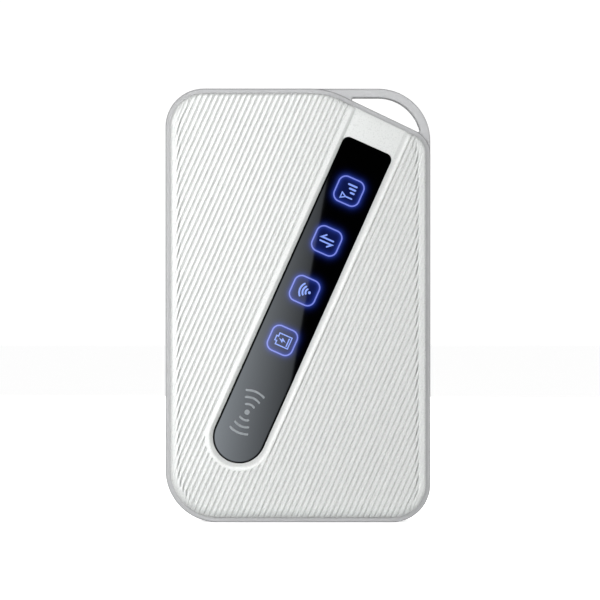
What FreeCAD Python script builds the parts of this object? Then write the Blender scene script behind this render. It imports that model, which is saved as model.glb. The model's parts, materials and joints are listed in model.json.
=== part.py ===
import FreeCAD, Part

# A pocket mobile hotspot: a ribbed front cover and a display window on a mid frame with a lanyard
# loop, a board with its keys, card holders and antennas, a battery bay and a removable back cover.
#
# Every piece is modelled lying on its back: x runs across the body, y along it towards the loop
# end, both from the middle of the outline, and z is the height above the back face. stand() then
# turns each piece upright on its bottom end, so in the finished part +Z is up, the front faces
# -Y, and the origin is the middle of the bottom end.

import math
import os
import Sketcher
from FreeCAD import Placement, Rotation, Vector

OUT_FOLDER = "parts"

# The driving dimensions, in millimetres and degrees.
DIMENSIONS = {
    # outline
    "body_length": 100.0,
    "body_width": 61.05,
    "body_depth": 14.0,
    "corner_small": 8.85,
    "corner_large": 12.05,
    "cut_tilt": 25.5,
    "cut_distance": 48.0,
    "cut_blend_top": 17.0,
    "cut_blend_side": 6.0,
    # mid frame and lanyard loop
    "frame_back": 3.2,
    "frame_front": 11.9,
    "frame_wall": 2.4,
    "frame_rim": 1.15,
    "frame_edge": 0.6,
    "frame_back_edge": 0.25,
    "loop_back": 7.4,
    "loop_front": 11.25,
    "loop_bar": 2.1,
    "loop_tip": 0.4,
    "loop_edge": 0.45,
    # front cover
    "seam": 0.02,
    "cover_wall": 1.1,
    "cover_skirt": 10.7,
    "cover_shoulder": 1.75,
    "window_pad_back": 11.5,
    "boss_radius": 2.0,
    "boss_fit": 0.03,
    "boss_end": 0.4,
    # display window and the trough round it
    "strip_tilt": 24.03,
    "trough_half": 7.5,
    "trough_pad": 0.4,
    "trough_low": -33.0,
    "trough_depth": 0.8,
    "trough_taper": 55.0,
    "window_half": 6.07,
    "window_low": -33.2,
    "window_top": 40.25,
    "window_corner": 1.5,
    "window_fit": 0.06,
    "window_proud": 0.1,
    "window_edge": 0.2,
    "seat_rise": 0.95,
    "seat_ledge": 0.95,
    "adhesive_thick": 0.15,
    "adhesive_edge": 0.1,
    "adhesive_width": 0.7,
    "film_gap": 0.02,
    # icons, measured along the strip
    "icon_first": -8.8,
    "icon_pitch": 12.53,
    "icon_well": 7.0,
    "led_size": 1.6,
    "led_tall": 0.7,
    "baffle_half": 4.9,
    "baffle_back": 10.15,
    "baffle_end": 1.0,
    "baffle_gap": 0.05,
    # main board
    "board_back": 8.5,
    "board_thick": 0.8,
    "board_inset": 3.0,
    "board_hole_gap": 0.2,
    "shield_height": 1.5,
    "shield_sheet": 0.2,
    "antenna_height": 2.6,
    "antenna_sheet": 0.2,
    "antenna_foot": 1.2,
    "antenna_feed_step": 3.2,
    "antenna_slot": 0.7,
    # screws
    "screw_radius": 0.8,
    "screw_head": 1.4,
    "screw_head_thick": 1.0,
    "screw_length": 7.0,
    "screw_sunk": 0.1,
    "screw_head_gap": 0.1,
    "screw_way_gap": 0.15,
    "cross_half": 0.9,
    "cross_half_thick": 0.18,
    "cross_deep": 0.6,
    # side keys
    "key_level": 7.2,
    "key_half_thick": 1.25,
    "key_gap": 0.15,
    "key_flange": 0.7,
    "key_sunk": 0.05,
    "key_travel": 0.35,
    "key_lip": 0.9,
    "key_lip_back": 0.6,
    "key_inner_gap": 0.15,
    "key_end_round": 1.05,
    "power_along": 27.0,
    "power_half": 5.5,
    "pairing_along": 22.0,
    "pairing_half": 3.6,
    "switch_half": 2.1,
    "switch_deep": 3.0,
    "switch_tall": 2.0,
    "switch_gap": 0.3,
    "plunger_half": 1.05,
    "plunger_half_thick": 0.55,
    "plunger_gap": 0.1,
    "plunger_in": 0.9,
    # reset key
    "reset_across": 17.0,
    "reset_along": 33.0,
    "reset_radius": 0.6,
    "reset_pinhole": 0.8,
    "reset_case_across": 3.5,
    "reset_case_along": 3.0,
    "reset_case_tall": 1.3,
    "reset_hole_end": 0.3,
    "reset_button_gap": 0.4,
    "reset_button_out": 0.9,
    # charging socket
    "usb_half": 3.75,
    "usb_deep": 5.5,
    "usb_tall": 2.5,
    "usb_sunk": 0.5,
    "usb_sheet": 0.3,
    "usb_gap": 0.35,
    "usb_corner": 0.7,
    "usb_tongue_half": 2.65,
    "usb_tongue_low": 0.9,
    "usb_tongue_off": 0.175,
    "usb_tongue_thick": 0.55,
    # rear chassis and battery bay
    "deck_back": 4.1,
    "deck_thick": 1.0,
    "deck_gap": 0.1,
    "bay_half": 26.5,
    "bay_low": -40.5,
    "bay_high": 16.5,
    "bay_roof": 7.2,
    "bay_wall": 0.9,
    "roof_thick": 0.8,
    "service_left": -21.0,
    "service_right": 11.0,
    "service_high": 43.4,
    "service_margin": 0.8,
    "contact_left": 11.0,
    "contact_right": 20.0,
    "contact_first": 13.0,
    "contact_pitch": 2.5,
    "contact_width": 1.0,
    "contact_back": 5.7,
    "contact_front": 6.7,
    "contact_inset": 0.05,
    "contact_reach": 0.08,
    "connector_deep": 3.55,
    "connector_gap": 0.3,
    # battery
    "battery_back": 1.5,
    "battery_thick": 5.3,
    "battery_gap": 0.5,
    "battery_round": 1.2,
    "label_thick": 0.1,
    "label_round": 1.5,
    "label_margin": 3.0,
    "bay_label_half": 17.0,
    # battery cover
    "back_floor": 1.2,
    "back_rim": 3.1,
    "back_round": 2.2,
    "back_inset": 0.15,
    "lip_inset": 2.65,
    "lip_wall": 0.9,
    "lip_rise": 0.8,
    "notch_half": 6.0,
    "notch_deep": 1.0,
    "notch_tall": 0.7,
    # card holders
    "card_left": -20.0,
    "holder_across": 15.5,
    "holder_wall": 0.4,
    "sim_low": 19.0,
    "sim_across": 15.0,
    "sim_along": 12.0,
    "sim_thick": 0.76,
    "memory_low": 32.6,
    "memory_across": 15.0,
    "memory_along": 11.0,
    "memory_thick": 1.0,
    "card_gap": 0.06,
    "card_back_gap": 0.3,
    "card_round": 0.8,
    "thumb_half": 3.0,
    "thumb_deep": 4.0,
}

SCREW_SPOTS = [(-22.4, -43.4), (23.0, -43.6), (-24.0, 43.0), (22.4, 36.8)]

# Each board part: the middle's x and y, half its size across and along, and its height.
CHIPS = {
    "baseband_chip": (-17.4, -22.0, 6.0, 6.0, 0.9),
    "memory_chip": (-17.4, -9.0, 4.5, 4.0, 0.9),
    "transceiver_chip": (-17.5, 22.0, 3.5, 3.5, 0.8),
    "power_chip": (20.0, -18.0, 3.0, 3.0, 0.8),
}
SHIELDS = {
    "baseband_shield": (-17.4, -17.0, 6.9, 13.5),
    "radio_shield": (-17.5, 22.0, 7.0, 8.0),
}
ANTENNAS = {
    "main_antenna": (8.0, -41.5, 9.0, 3.0),
    "diversity_antenna": (-11.5, 42.0, 8.0, 2.6),
    "wifi_antenna": (23.0, 8.0, 3.2, 6.0),
}
CHIP_ROUND = 0.2
SHIELD_ROUND = 0.5

# How far a cutting tool runs past the face that it opens.
PAST = 1.0

doc = FreeCAD.newDocument("MobileHotspot")
pieces = []


class Size:
    """A number, together with the sheet expression that gives it."""

    def __init__(self, value, text=None):
        self.value = float(value)
        self.text = text or repr(float(value))

    def join(self, other, sign, value):
        """The Size made of this one, an arithmetic sign and another Size or number."""
        other_text = other.text if isinstance(other, Size) else repr(float(other))
        return Size(value, f"({self.text} {sign} {other_text})")

    def __add__(self, other):
        return self.join(other, "+", self.value + number(other))

    def __sub__(self, other):
        return self.join(other, "-", self.value - number(other))

    def __mul__(self, other):
        return self.join(other, "*", self.value * number(other))

    def __truediv__(self, other):
        return self.join(other, "/", self.value / number(other))

    def __neg__(self):
        return Size(-self.value, f"(-1 * {self.text})")


def number(size):
    """The plain value of a Size or a number."""
    return size.value if isinstance(size, Size) else float(size)


def as_size(size):
    """The same thing as a Size."""
    return size if isinstance(size, Size) else Size(size)


class Dims:
    """The sheet's cells as Sizes, each under its alias."""


def make_sheet():
    """Writes DIMENSIONS to a spreadsheet and returns them as Sizes."""
    sheet = doc.addObject("Spreadsheet::Sheet", "Dims")
    dims = Dims()
    for row, (alias, value) in enumerate(DIMENSIONS.items(), start=1):
        sheet.set(f"A{row}", alias)
        sheet.set(f"B{row}", str(value))
        sheet.setAlias(f"B{row}", alias)
        setattr(dims, alias, Size(value, f"Dims.{alias}"))
    doc.recompute()
    return dims


d = make_sheet()
half_width = d.body_width / 2
half_length = d.body_length / 2
board_front = d.board_back + d.board_thick
deck_front = d.deck_back + d.deck_thick
cover_inset = d.frame_rim + d.seam
trough_floor = d.body_depth - d.trough_depth
seat_floor = d.window_pad_back + d.seat_rise
cover_ceiling = d.body_depth - d.cover_wall
bay_wall_top = d.bay_high + d.bay_wall
usb_level = d.board_back - d.usb_tall / 2
head_back = d.deck_back + d.screw_sunk
head_front = head_back + d.screw_head_thick
window_back = seat_floor + d.adhesive_thick


# ---------------------------------------------------------------- helpers


def new_body(label):
    """A body of its own for one piece, listed for export."""
    body = doc.addObject("PartDesign::Body", label)
    body.Label = label
    body.AllowCompound = True
    pieces.append(body)
    return body


def stand(body):
    """Turns a finished piece from lying on its back to standing on its bottom end."""
    body.Placement = Placement(Vector(), Rotation(Vector(1, 0, 0), 90))
    body.setExpression("Placement.Base.y", (d.body_depth / 2).text)
    body.setExpression("Placement.Base.z", half_length.text)


def origin_plane(body, role):
    """The body's own origin plane of that role, such as XY_Plane."""
    return next(item for item in body.Origin.OriginFeatures if item.Role == role)


def new_sketch(body, name, level, turn=None):
    """A sketch at a height above the back face, turned about z if asked."""
    sketch = body.newObject("Sketcher::SketchObject", name)
    sketch.AttachmentSupport = [(origin_plane(body, "XY_Plane"), "")]
    sketch.MapMode = "FlatFace"
    level = as_size(level)
    offset = Placement(Vector(0, 0, level.value), Rotation())
    if turn is not None:
        offset.Rotation = Rotation(Vector(0, 0, 1), turn.value)
    sketch.AttachmentOffset = offset
    sketch.setExpression("AttachmentOffset.Base.z", level.text)
    if turn is not None:
        sketch.setExpression("AttachmentOffset.Rotation.Angle", turn.text)
    return sketch


def constrain(sketch, size, kind, *items):
    """Adds a dimension to the sketch and binds it to the size's expression."""
    size = as_size(size)
    value = math.radians(size.value) if kind == "Angle" else size.value
    index = sketch.addConstraint(Sketcher.Constraint(kind, *items, value))
    sketch.setExpression(f"Constraints[{index}]", size.text)


def rounded_profile(sketch, sides):
    """Draws a closed convex outline of straight sides and tangent corner arcs.

    Each side is (outward normal's angle, distance from the centre, radius of the corner that
    follows it), counter-clockwise.
    """
    count = len(sides)
    normals = []
    for angle, _, _ in sides:
        turn = math.radians(number(angle))
        normals.append(Vector(math.cos(turn), math.sin(turn), 0))
    arcs = []
    for i, (angle, distance, radius) in enumerate(sides):
        after = (i + 1) % count
        first, second = normals[i], normals[after]
        reach_one = number(distance) - number(radius)
        reach_two = number(sides[after][1]) - number(radius)
        cross = first.x * second.y - first.y * second.x
        centre = Vector(
            (reach_one * second.y - reach_two * first.y) / cross,
            (reach_two * first.x - reach_one * second.x) / cross,
            0,
        )
        start = math.radians(number(angle))
        sweep = math.radians((number(sides[after][0]) - number(angle)) % 360)
        circle = Part.Circle(centre, Vector(0, 0, 1), number(radius))
        arcs.append(Part.ArcOfCircle(circle, start, start + sweep))
    lines = [Part.LineSegment(arcs[i - 1].EndPoint, arcs[i].StartPoint) for i in range(count)]
    line_ids = [sketch.addGeometry(line, False) for line in lines]
    arc_ids = [sketch.addGeometry(arc, False) for arc in arcs]
    for i in range(count):
        after = (i + 1) % count
        sketch.addConstraint(Sketcher.Constraint("Tangent", line_ids[i], 2, arc_ids[i], 1))
        sketch.addConstraint(Sketcher.Constraint("Tangent", arc_ids[i], 2, line_ids[after], 1))
    for i, (angle, distance, radius) in enumerate(sides):
        if number(angle) % 180 == 0:
            sketch.addConstraint(Sketcher.Constraint("Vertical", line_ids[i]))
        elif number(angle) % 90 == 0:
            sketch.addConstraint(Sketcher.Constraint("Horizontal", line_ids[i]))
        else:
            constrain(sketch, as_size(angle) + 90, "Angle", line_ids[i])
        constrain(sketch, distance, "Distance", -1, 1, line_ids[i])
        constrain(sketch, radius, "Radius", arc_ids[i])


def body_sides(inset, cut=True):
    """The body's outline moved inwards, with the cut corner or with the full loop corner."""
    right, top = half_width - inset, half_length - inset
    small, large = d.corner_small - inset, d.corner_large - inset
    sides = [(180, right, large), (270, top, small)]
    if cut:
        diagonal = -d.cut_tilt + 90
        sides.append((0, right, d.cut_blend_side - inset))
        sides.append((diagonal, d.cut_distance - inset, d.cut_blend_top - inset))
    else:
        sides.append((0, right, large))
    sides.append((90, top, small))
    return sides


def strip_profile(sketch, half, low, top, corner=None):
    """A strip with a round lower end centred at low, and a square or rounded upper end."""
    half_value, top_value = number(half), number(top)
    round_off = number(corner) if corner is not None else 0.0
    end_circle = Part.Circle(Vector(0, number(low), 0), Vector(0, 0, 1), half_value)
    lower = sketch.addGeometry(Part.ArcOfCircle(end_circle, math.pi, 2 * math.pi), False)
    lines = [
        ((half_value, number(low)), (half_value, top_value - round_off)),
        ((half_value - round_off, top_value), (round_off - half_value, top_value)),
        ((-half_value, top_value - round_off), (-half_value, number(low))),
    ]
    right, upper, left = [
        sketch.addGeometry(Part.LineSegment(Vector(*a, 0), Vector(*b, 0)), False)
        for a, b in lines
    ]
    sketch.addConstraint(Sketcher.Constraint("Tangent", lower, 2, right, 1))
    sketch.addConstraint(Sketcher.Constraint("Tangent", left, 2, lower, 1))
    if corner is None:
        sketch.addConstraint(Sketcher.Constraint("Coincident", right, 2, upper, 1))
        sketch.addConstraint(Sketcher.Constraint("Coincident", upper, 2, left, 1))
    else:
        for side, before, after in ((1, right, upper), (-1, upper, left)):
            centre = Vector(side * (half_value - round_off), top_value - round_off, 0)
            start = 0 if side > 0 else math.pi / 2
            circle = Part.Circle(centre, Vector(0, 0, 1), round_off)
            arc = sketch.addGeometry(Part.ArcOfCircle(circle, start, start + math.pi / 2), False)
            sketch.addConstraint(Sketcher.Constraint("Tangent", before, 2, arc, 1))
            sketch.addConstraint(Sketcher.Constraint("Tangent", arc, 2, after, 1))
            constrain(sketch, corner, "Radius", arc)
    sketch.addConstraint(Sketcher.Constraint("Vertical", right))
    sketch.addConstraint(Sketcher.Constraint("Horizontal", upper))
    sketch.addConstraint(Sketcher.Constraint("PointOnObject", lower, 3, -2))
    constrain(sketch, half, "Radius", lower)
    constrain(sketch, low, "DistanceY", -1, 1, lower, 3)
    constrain(sketch, top, "Distance", -1, 1, upper)


def pad(body, sketch, height, name):
    """Pads a sketch upwards, away from the back face."""
    feature = body.newObject("PartDesign::Pad", name)
    feature.Profile = sketch
    feature.setExpression("Length", as_size(height).text)
    return feature


def pocket(body, sketch, depth, name, taper=None):
    """Pockets upwards from a sketch, or downwards from it when a taper is given."""
    feature = body.newObject("PartDesign::Pocket", name)
    feature.Profile = sketch
    feature.Reversed = taper is None
    feature.setExpression("Length", as_size(depth).text)
    if taper is not None:
        feature.setExpression("TaperAngle", taper.text)
    return feature


def outline_pad(body, name, inset, low, high, cut=True):
    """A slab with the body's outline moved inwards, between two heights."""
    sketch = new_sketch(body, f"{name}_sketch", low)
    rounded_profile(sketch, body_sides(inset, cut))
    return pad(body, sketch, high - low, name)


def outline_pocket(body, name, inset, low, high):
    """Removes the body's outline moved inwards, between two heights."""
    sketch = new_sketch(body, f"{name}_sketch", low)
    rounded_profile(sketch, body_sides(inset))
    return pocket(body, sketch, high - low, name)


def strip_slab(body, name, half, low_end, top, low, high, corner=None, cut=False):
    """Adds or removes a slab with the strip's outline, between two heights."""
    sketch = new_sketch(body, f"{name}_sketch", low, -d.strip_tilt)
    strip_profile(sketch, half, low_end, top, corner)
    if cut:
        return pocket(body, sketch, high - low, name)
    return pad(body, sketch, high - low, name)


def place(feature, x, y, z):
    """Puts a primitive's corner or centre at a place bound to the sheet."""
    for axis, size in zip("xyz", (x, y, z)):
        feature.setExpression(f"Placement.Base.{axis}", as_size(size).text)


def block(body, name, x, y, z, cut=False):
    """Adds or removes a box given by its low and high limits along x, y and z."""
    kind = "PartDesign::SubtractiveBox" if cut else "PartDesign::AdditiveBox"
    feature = body.newObject(kind, name)
    for key, (low, high) in zip(("Length", "Width", "Height"), (x, y, z)):
        feature.setExpression(key, (as_size(high) - low).text)
    place(feature, x[0], y[0], z[0])
    return feature


def turned_block(body, name, v, u, z, cut=False):
    """As block(), with its sides along the display strip: v across it and u along it."""
    feature = block(body, name, v, u, z, cut)
    tilt = d.strip_tilt.text
    low_v, low_u = as_size(v[0]).text, as_size(u[0]).text
    feature.Placement = Placement(Vector(), Rotation(Vector(0, 0, 1), -d.strip_tilt.value))
    across = f"{low_v} * cos({tilt} * 1 deg) + {low_u} * sin({tilt} * 1 deg)"
    along = f"{low_u} * cos({tilt} * 1 deg) - {low_v} * sin({tilt} * 1 deg)"
    feature.setExpression("Placement.Base.x", across)
    feature.setExpression("Placement.Base.y", along)
    return feature


def rod(body, name, centre, radius, z, cut=False):
    """Adds or removes an upright cylinder between two heights."""
    kind = "PartDesign::SubtractiveCylinder" if cut else "PartDesign::AdditiveCylinder"
    feature = body.newObject(kind, name)
    feature.setExpression("Radius", as_size(radius).text)
    feature.setExpression("Height", (as_size(z[1]) - z[0]).text)
    place(feature, centre[0], centre[1], z[0])
    return feature


def edges_where(feature, test):
    """The names of a feature's edges that pass the test."""
    doc.recompute()
    return [f"Edge{i}" for i, e in enumerate(feature.Shape.Edges, start=1) if test(e)]


def round_edges(body, name, base, radius, test):
    """Rounds the edges of base that pass the test."""
    feature = body.newObject("PartDesign::Fillet", name)
    feature.Base = (base, edges_where(base, test))
    feature.setExpression("Radius", as_size(radius).text)
    return feature


def at_height(edge, height):
    """True for an edge that lies flat at that height."""
    box = edge.BoundBox
    return box.ZLength < 1e-4 and abs(box.ZMin - number(height)) < 1e-4


def upright(edge):
    """True for a straight edge along z."""
    box = edge.BoundBox
    return box.XLength < 1e-4 and box.YLength < 1e-4


def along_x(edge):
    """True for a straight edge along x."""
    box = edge.BoundBox
    return box.YLength < 1e-4 and box.ZLength < 1e-4


def along_y(edge):
    """True for a straight edge along y."""
    box = edge.BoundBox
    return box.XLength < 1e-4 and box.ZLength < 1e-4


def centred(middle, half):
    """The low and high limits of a span about its middle."""
    middle = as_size(middle)
    return middle - half, middle + half


# ---------------------------------------------------------------- housing


def loop_opening(sketch):
    """The lanyard opening: a straight top, the loop's inner arc and the cut corner's line."""
    radius = d.corner_large - d.loop_bar
    centre_x = half_width - d.corner_large
    centre_y = half_length - d.corner_large
    cx, cy, r = centre_x.value, centre_y.value, radius.value
    tilt = math.radians(d.cut_tilt.value)
    normal = Vector(math.sin(tilt), math.cos(tilt), 0)
    reach = d.cut_distance.value
    top = cy + r
    left = Vector((reach - normal.y * top) / normal.x, top, 0)
    gap = reach - (normal.x * cx + normal.y * cy)
    swing = math.acos(gap / r)
    low_angle = math.pi / 2 - tilt - swing
    circle = Part.Circle(Vector(cx, cy, 0), Vector(0, 0, 1), r)
    arc = Part.ArcOfCircle(circle, low_angle, math.pi / 2)
    low = arc.StartPoint
    bow = sketch.addGeometry(arc, False)
    roof = sketch.addGeometry(Part.LineSegment(Vector(cx, top, 0), left), False)
    slope = sketch.addGeometry(Part.LineSegment(left, low), False)
    sketch.addConstraint(Sketcher.Constraint("Tangent", bow, 2, roof, 1))
    sketch.addConstraint(Sketcher.Constraint("Coincident", roof, 2, slope, 1))
    sketch.addConstraint(Sketcher.Constraint("Coincident", slope, 2, bow, 1))
    sketch.addConstraint(Sketcher.Constraint("Horizontal", roof))
    constrain(sketch, radius, "Radius", bow)
    constrain(sketch, centre_x, "DistanceX", -1, 1, bow, 3)
    constrain(sketch, centre_y, "DistanceY", -1, 1, bow, 3)
    constrain(sketch, -d.cut_tilt, "Angle", slope)
    constrain(sketch, d.cut_distance, "Distance", -1, 1, slope)


def key_slot(body, name, side, along, half):
    """The opening in a side wall for a key."""
    gap = d.key_gap
    wall = (half_width - d.frame_wall - PAST, half_width + PAST)
    x = wall if side > 0 else (-wall[1], -wall[0])
    z = centred(d.key_level, d.key_half_thick + gap)
    block(body, name, x, centred(along, half + gap), z, cut=True)


def mid_frame():
    """The ring round the body, with the lanyard loop on its cut corner."""
    body = new_body("mid_frame")
    outline_pad(body, "loop_block", 0, d.loop_back, d.loop_front, cut=False)
    sketch = new_sketch(body, "loop_opening_sketch", d.loop_back - PAST)
    loop_opening(sketch)
    opening = pocket(body, sketch, d.loop_front - d.loop_back + PAST * 2, "loop_opening")
    tips = round_edges(body, "loop_tips", opening, d.loop_tip, is_loop_tip)
    round_edges(body, "loop_edges", tips, d.loop_edge, lambda e: at_height(e, d.loop_front))
    ring = outline_pad(body, "frame_ring", 0, d.frame_back, d.frame_front)
    front = round_edges(body, "frame_edges", ring, d.frame_edge, lambda e: at_height(e, d.frame_front))
    round_edges(body, "frame_back_edges", front, d.frame_back_edge,
                lambda e: at_height(e, d.frame_back))
    outline_pocket(body, "frame_cavity", d.frame_wall, d.frame_back, d.frame_front)
    outline_pocket(body, "cover_rabbet", d.frame_rim, d.cover_skirt, d.frame_front)
    key_slot(body, "power_slot", -1, d.power_along, d.power_half)
    key_slot(body, "pairing_slot", 1, d.pairing_along, d.pairing_half)
    usb_opening(body)
    stand(body)


def is_loop_tip(edge):
    """True for the two upright edges at the loop opening's sharp ends."""
    box = edge.BoundBox
    corner_x = half_width.value - d.corner_large.value
    corner_y = half_length.value - d.corner_large.value
    upper_left = box.XMax < corner_x and box.YMin > corner_y
    lower_right = box.XMin > corner_x and box.YMax < corner_y + d.loop_bar.value
    right, top = half_width.value - d.loop_bar.value / 2, half_length.value - d.loop_bar.value / 2
    inside = 0 < box.XMin and box.XMax < right and box.YMax < top
    return upright(edge) and inside and (upper_left or lower_right)


def usb_opening(body):
    """The rounded opening for the charging plug in the bottom wall."""
    y = (-half_length - PAST, -half_length + d.frame_wall + PAST)
    x = centred(0, d.usb_half + d.usb_gap)
    z = centred(usb_level, d.usb_tall / 2 + d.usb_gap)
    cut = block(body, "usb_opening", x, y, z, cut=True)

    def is_corner(edge):
        """True for the opening's four edges through the wall."""
        box = edge.BoundBox
        return along_y(edge) and abs(abs(box.XMin) - x[1].value) < 1e-3 and box.YMax < y[1].value

    round_edges(body, "usb_corners", cut, d.usb_corner + d.usb_gap, is_corner)


def front_cover():
    """The front shell: rounded shoulder, trough, window seat and screw bosses."""
    body = new_body("front_cover")
    slab = outline_pad(body, "cover_slab", cover_inset, d.cover_skirt, d.body_depth)
    round_edges(body, "shoulder", slab, d.cover_shoulder, lambda e: at_height(e, d.body_depth))
    outline_pocket(body, "cover_hollow", cover_inset + d.cover_wall, d.cover_skirt, cover_ceiling)
    pad_half = d.trough_half + d.trough_pad / 2
    pad_top = d.cut_distance - cover_inset - d.trough_pad * 2
    strip_slab(body, "window_pad", pad_half, d.trough_low, pad_top, d.window_pad_back, cover_ceiling)
    trough = new_sketch(body, "trough_sketch", d.body_depth, -d.strip_tilt)
    strip_profile(trough, d.trough_half, d.trough_low, d.cut_distance + PAST * 2)
    pocket(body, trough, d.trough_depth, "trough", taper=-d.trough_taper)
    fit, ledge = d.window_fit, d.seat_ledge
    strip_slab(body, "window_seat", d.window_half + fit, d.window_low, d.window_top + fit, seat_floor,
               d.body_depth, d.window_corner + fit, cut=True)
    strip_slab(body, "window_hole", d.window_half + fit - ledge, d.window_low, d.window_top - ledge,
               d.window_pad_back - PAST, d.body_depth, d.window_corner / 2, cut=True)
    for i, spot in enumerate(SCREW_SPOTS, start=1):
        rod(body, f"boss_{i}", spot, d.boss_radius, (board_front, cover_ceiling))
    for i, spot in enumerate(SCREW_SPOTS, start=1):
        hole = (board_front, cover_ceiling - d.boss_end)
        rod(body, f"boss_hole_{i}", spot, d.screw_radius + d.boss_fit, hole, cut=True)
    stand(body)


def display_window():
    """The glossy lens, standing just proud of the trough floor, with a small chamfer."""
    body = new_body("display_window")
    front = trough_floor + d.window_proud
    lens = strip_slab(body, "lens", d.window_half, d.window_low, d.window_top, window_back,
                      front, d.window_corner)
    chamfer = body.newObject("PartDesign::Chamfer", "lens_chamfer")
    chamfer.Base = (lens, edges_where(lens, lambda e: at_height(e, front)))
    chamfer.setExpression("Size", d.window_edge.text)
    stand(body)


def window_adhesive():
    """The thin bonding ring between the lens and its ledge."""
    body = new_body("window_adhesive")
    edge = d.adhesive_edge
    hole = edge + d.adhesive_width
    strip_slab(body, "ring", d.window_half - edge, d.window_low, d.window_top - edge, seat_floor,
               window_back, d.window_corner - edge)
    strip_slab(body, "ring_hole", d.window_half - hole, d.window_low, d.window_top - hole, seat_floor,
               window_back, d.window_corner / 2, cut=True)
    stand(body)


def icon_film():
    """The printed icon layer behind the lens, inside the bonding ring."""
    body = new_body("icon_film")
    margin = d.adhesive_edge * 3 + d.adhesive_width
    strip_slab(body, "film", d.window_half - margin, d.window_low, d.window_top - margin,
               seat_floor, window_back - d.film_gap, d.window_corner / 2)
    stand(body)


def icon_places():
    """How far along the strip each icon is."""
    return [d.icon_first + d.icon_pitch * i for i in range(4)]


def light_baffle():
    """The black block between the board and the film, with a well for each icon."""
    body = new_body("light_baffle")
    margin = d.icon_well / 2 + d.baffle_end
    ends = (icon_places()[0] - margin, icon_places()[-1] + margin)
    z = (d.baffle_back, seat_floor - d.baffle_gap)
    turned_block(body, "baffle", centred(0, d.baffle_half), ends, z)
    for i, place_along in enumerate(icon_places(), start=1):
        turned_block(body, f"well_{i}", centred(0, d.icon_well / 2),
                     centred(place_along, d.icon_well / 2), (d.baffle_back, seat_floor), cut=True)
    stand(body)


# ---------------------------------------------------------------- board


def main_board():
    """The circuit board, with clearance holes for the screws."""
    body = new_body("main_board")
    outline_pad(body, "board", d.board_inset, d.board_back, board_front)
    for i, spot in enumerate(SCREW_SPOTS, start=1):
        hole = (d.board_back, board_front)
        rod(body, f"screw_hole_{i}", spot, d.screw_radius + d.board_hole_gap, hole, cut=True)
    stand(body)


def status_leds():
    """One small light behind each icon."""
    body = new_body("status_leds")
    for i, place_along in enumerate(icon_places(), start=1):
        turned_block(body, f"led_{i}", centred(0, d.led_size / 2), centred(place_along, d.led_size / 2),
                     (board_front, board_front + d.led_tall))
    stand(body)


def chip(label, x, y, half_x, half_y, height):
    """A package on the board's front side, with rounded corners."""
    body = new_body(label)
    z = (board_front, board_front + height)
    base = block(body, "package", centred(x, half_x), centred(y, half_y), z)
    round_edges(body, "package_corners", base, CHIP_ROUND, upright)
    stand(body)


def shield(label, x, y, half_x, half_y):
    """A folded metal can over a group of chips."""
    body = new_body(label)
    top = board_front + d.shield_height
    sheet = d.shield_sheet
    can = block(body, "can", centred(x, half_x), centred(y, half_y), (board_front, top))
    round_edges(body, "can_corners", can, SHIELD_ROUND, upright)
    hollow = (centred(x, -sheet + half_x), centred(y, -sheet + half_y), (board_front, top - sheet))
    block(body, "can_hollow", *hollow, cut=True)
    stand(body)


def antenna(label, x, y, half_x, half_y):
    """A bent sheet-metal antenna: a raised, slotted plate on a feed foot and a ground foot."""
    body = new_body(label)
    top = board_front + d.antenna_height
    sheet, foot = d.antenna_sheet, d.antenna_foot
    left, right = centred(x, half_x)
    low, high = centred(y, half_y)
    plate_z, foot_z = (top - sheet, top), (board_front, top - sheet)
    ground = left + d.antenna_feed_step
    block(body, "plate", (left, right), (low, high), plate_z)
    block(body, "feed_foot", (left, left + foot), (low, low + sheet), foot_z)
    block(body, "ground_foot", (ground, ground + foot), (low, low + sheet), foot_z)
    slot = centred(y, d.antenna_slot / 2)
    block(body, "slot", (left + foot * 2, right - foot), slot, plate_z, cut=True)
    stand(body)


def usb_socket():
    """The charging socket: a folded shell and the contact tongue inside it."""
    shell = new_body("usb_shell")
    low = -half_length + d.usb_sunk
    high = low + d.usb_deep
    sheet, half, half_tall = d.usb_sheet, d.usb_half, d.usb_tall / 2
    outer = block(shell, "shell", centred(0, half), (low, high), centred(usb_level, half_tall))
    round_edges(shell, "shell_corners", outer, d.usb_corner, along_y)
    block(shell, "mouth", centred(0, half - sheet), (low, high - sheet),
          centred(usb_level, half_tall - sheet), cut=True)
    stand(shell)
    tongue = new_body("usb_tongue")
    block(tongue, "tongue", centred(0, d.usb_tongue_half), (low + d.usb_tongue_low, high - sheet),
          centred(usb_level + d.usb_tongue_off, d.usb_tongue_thick / 2))
    stand(tongue)


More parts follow.
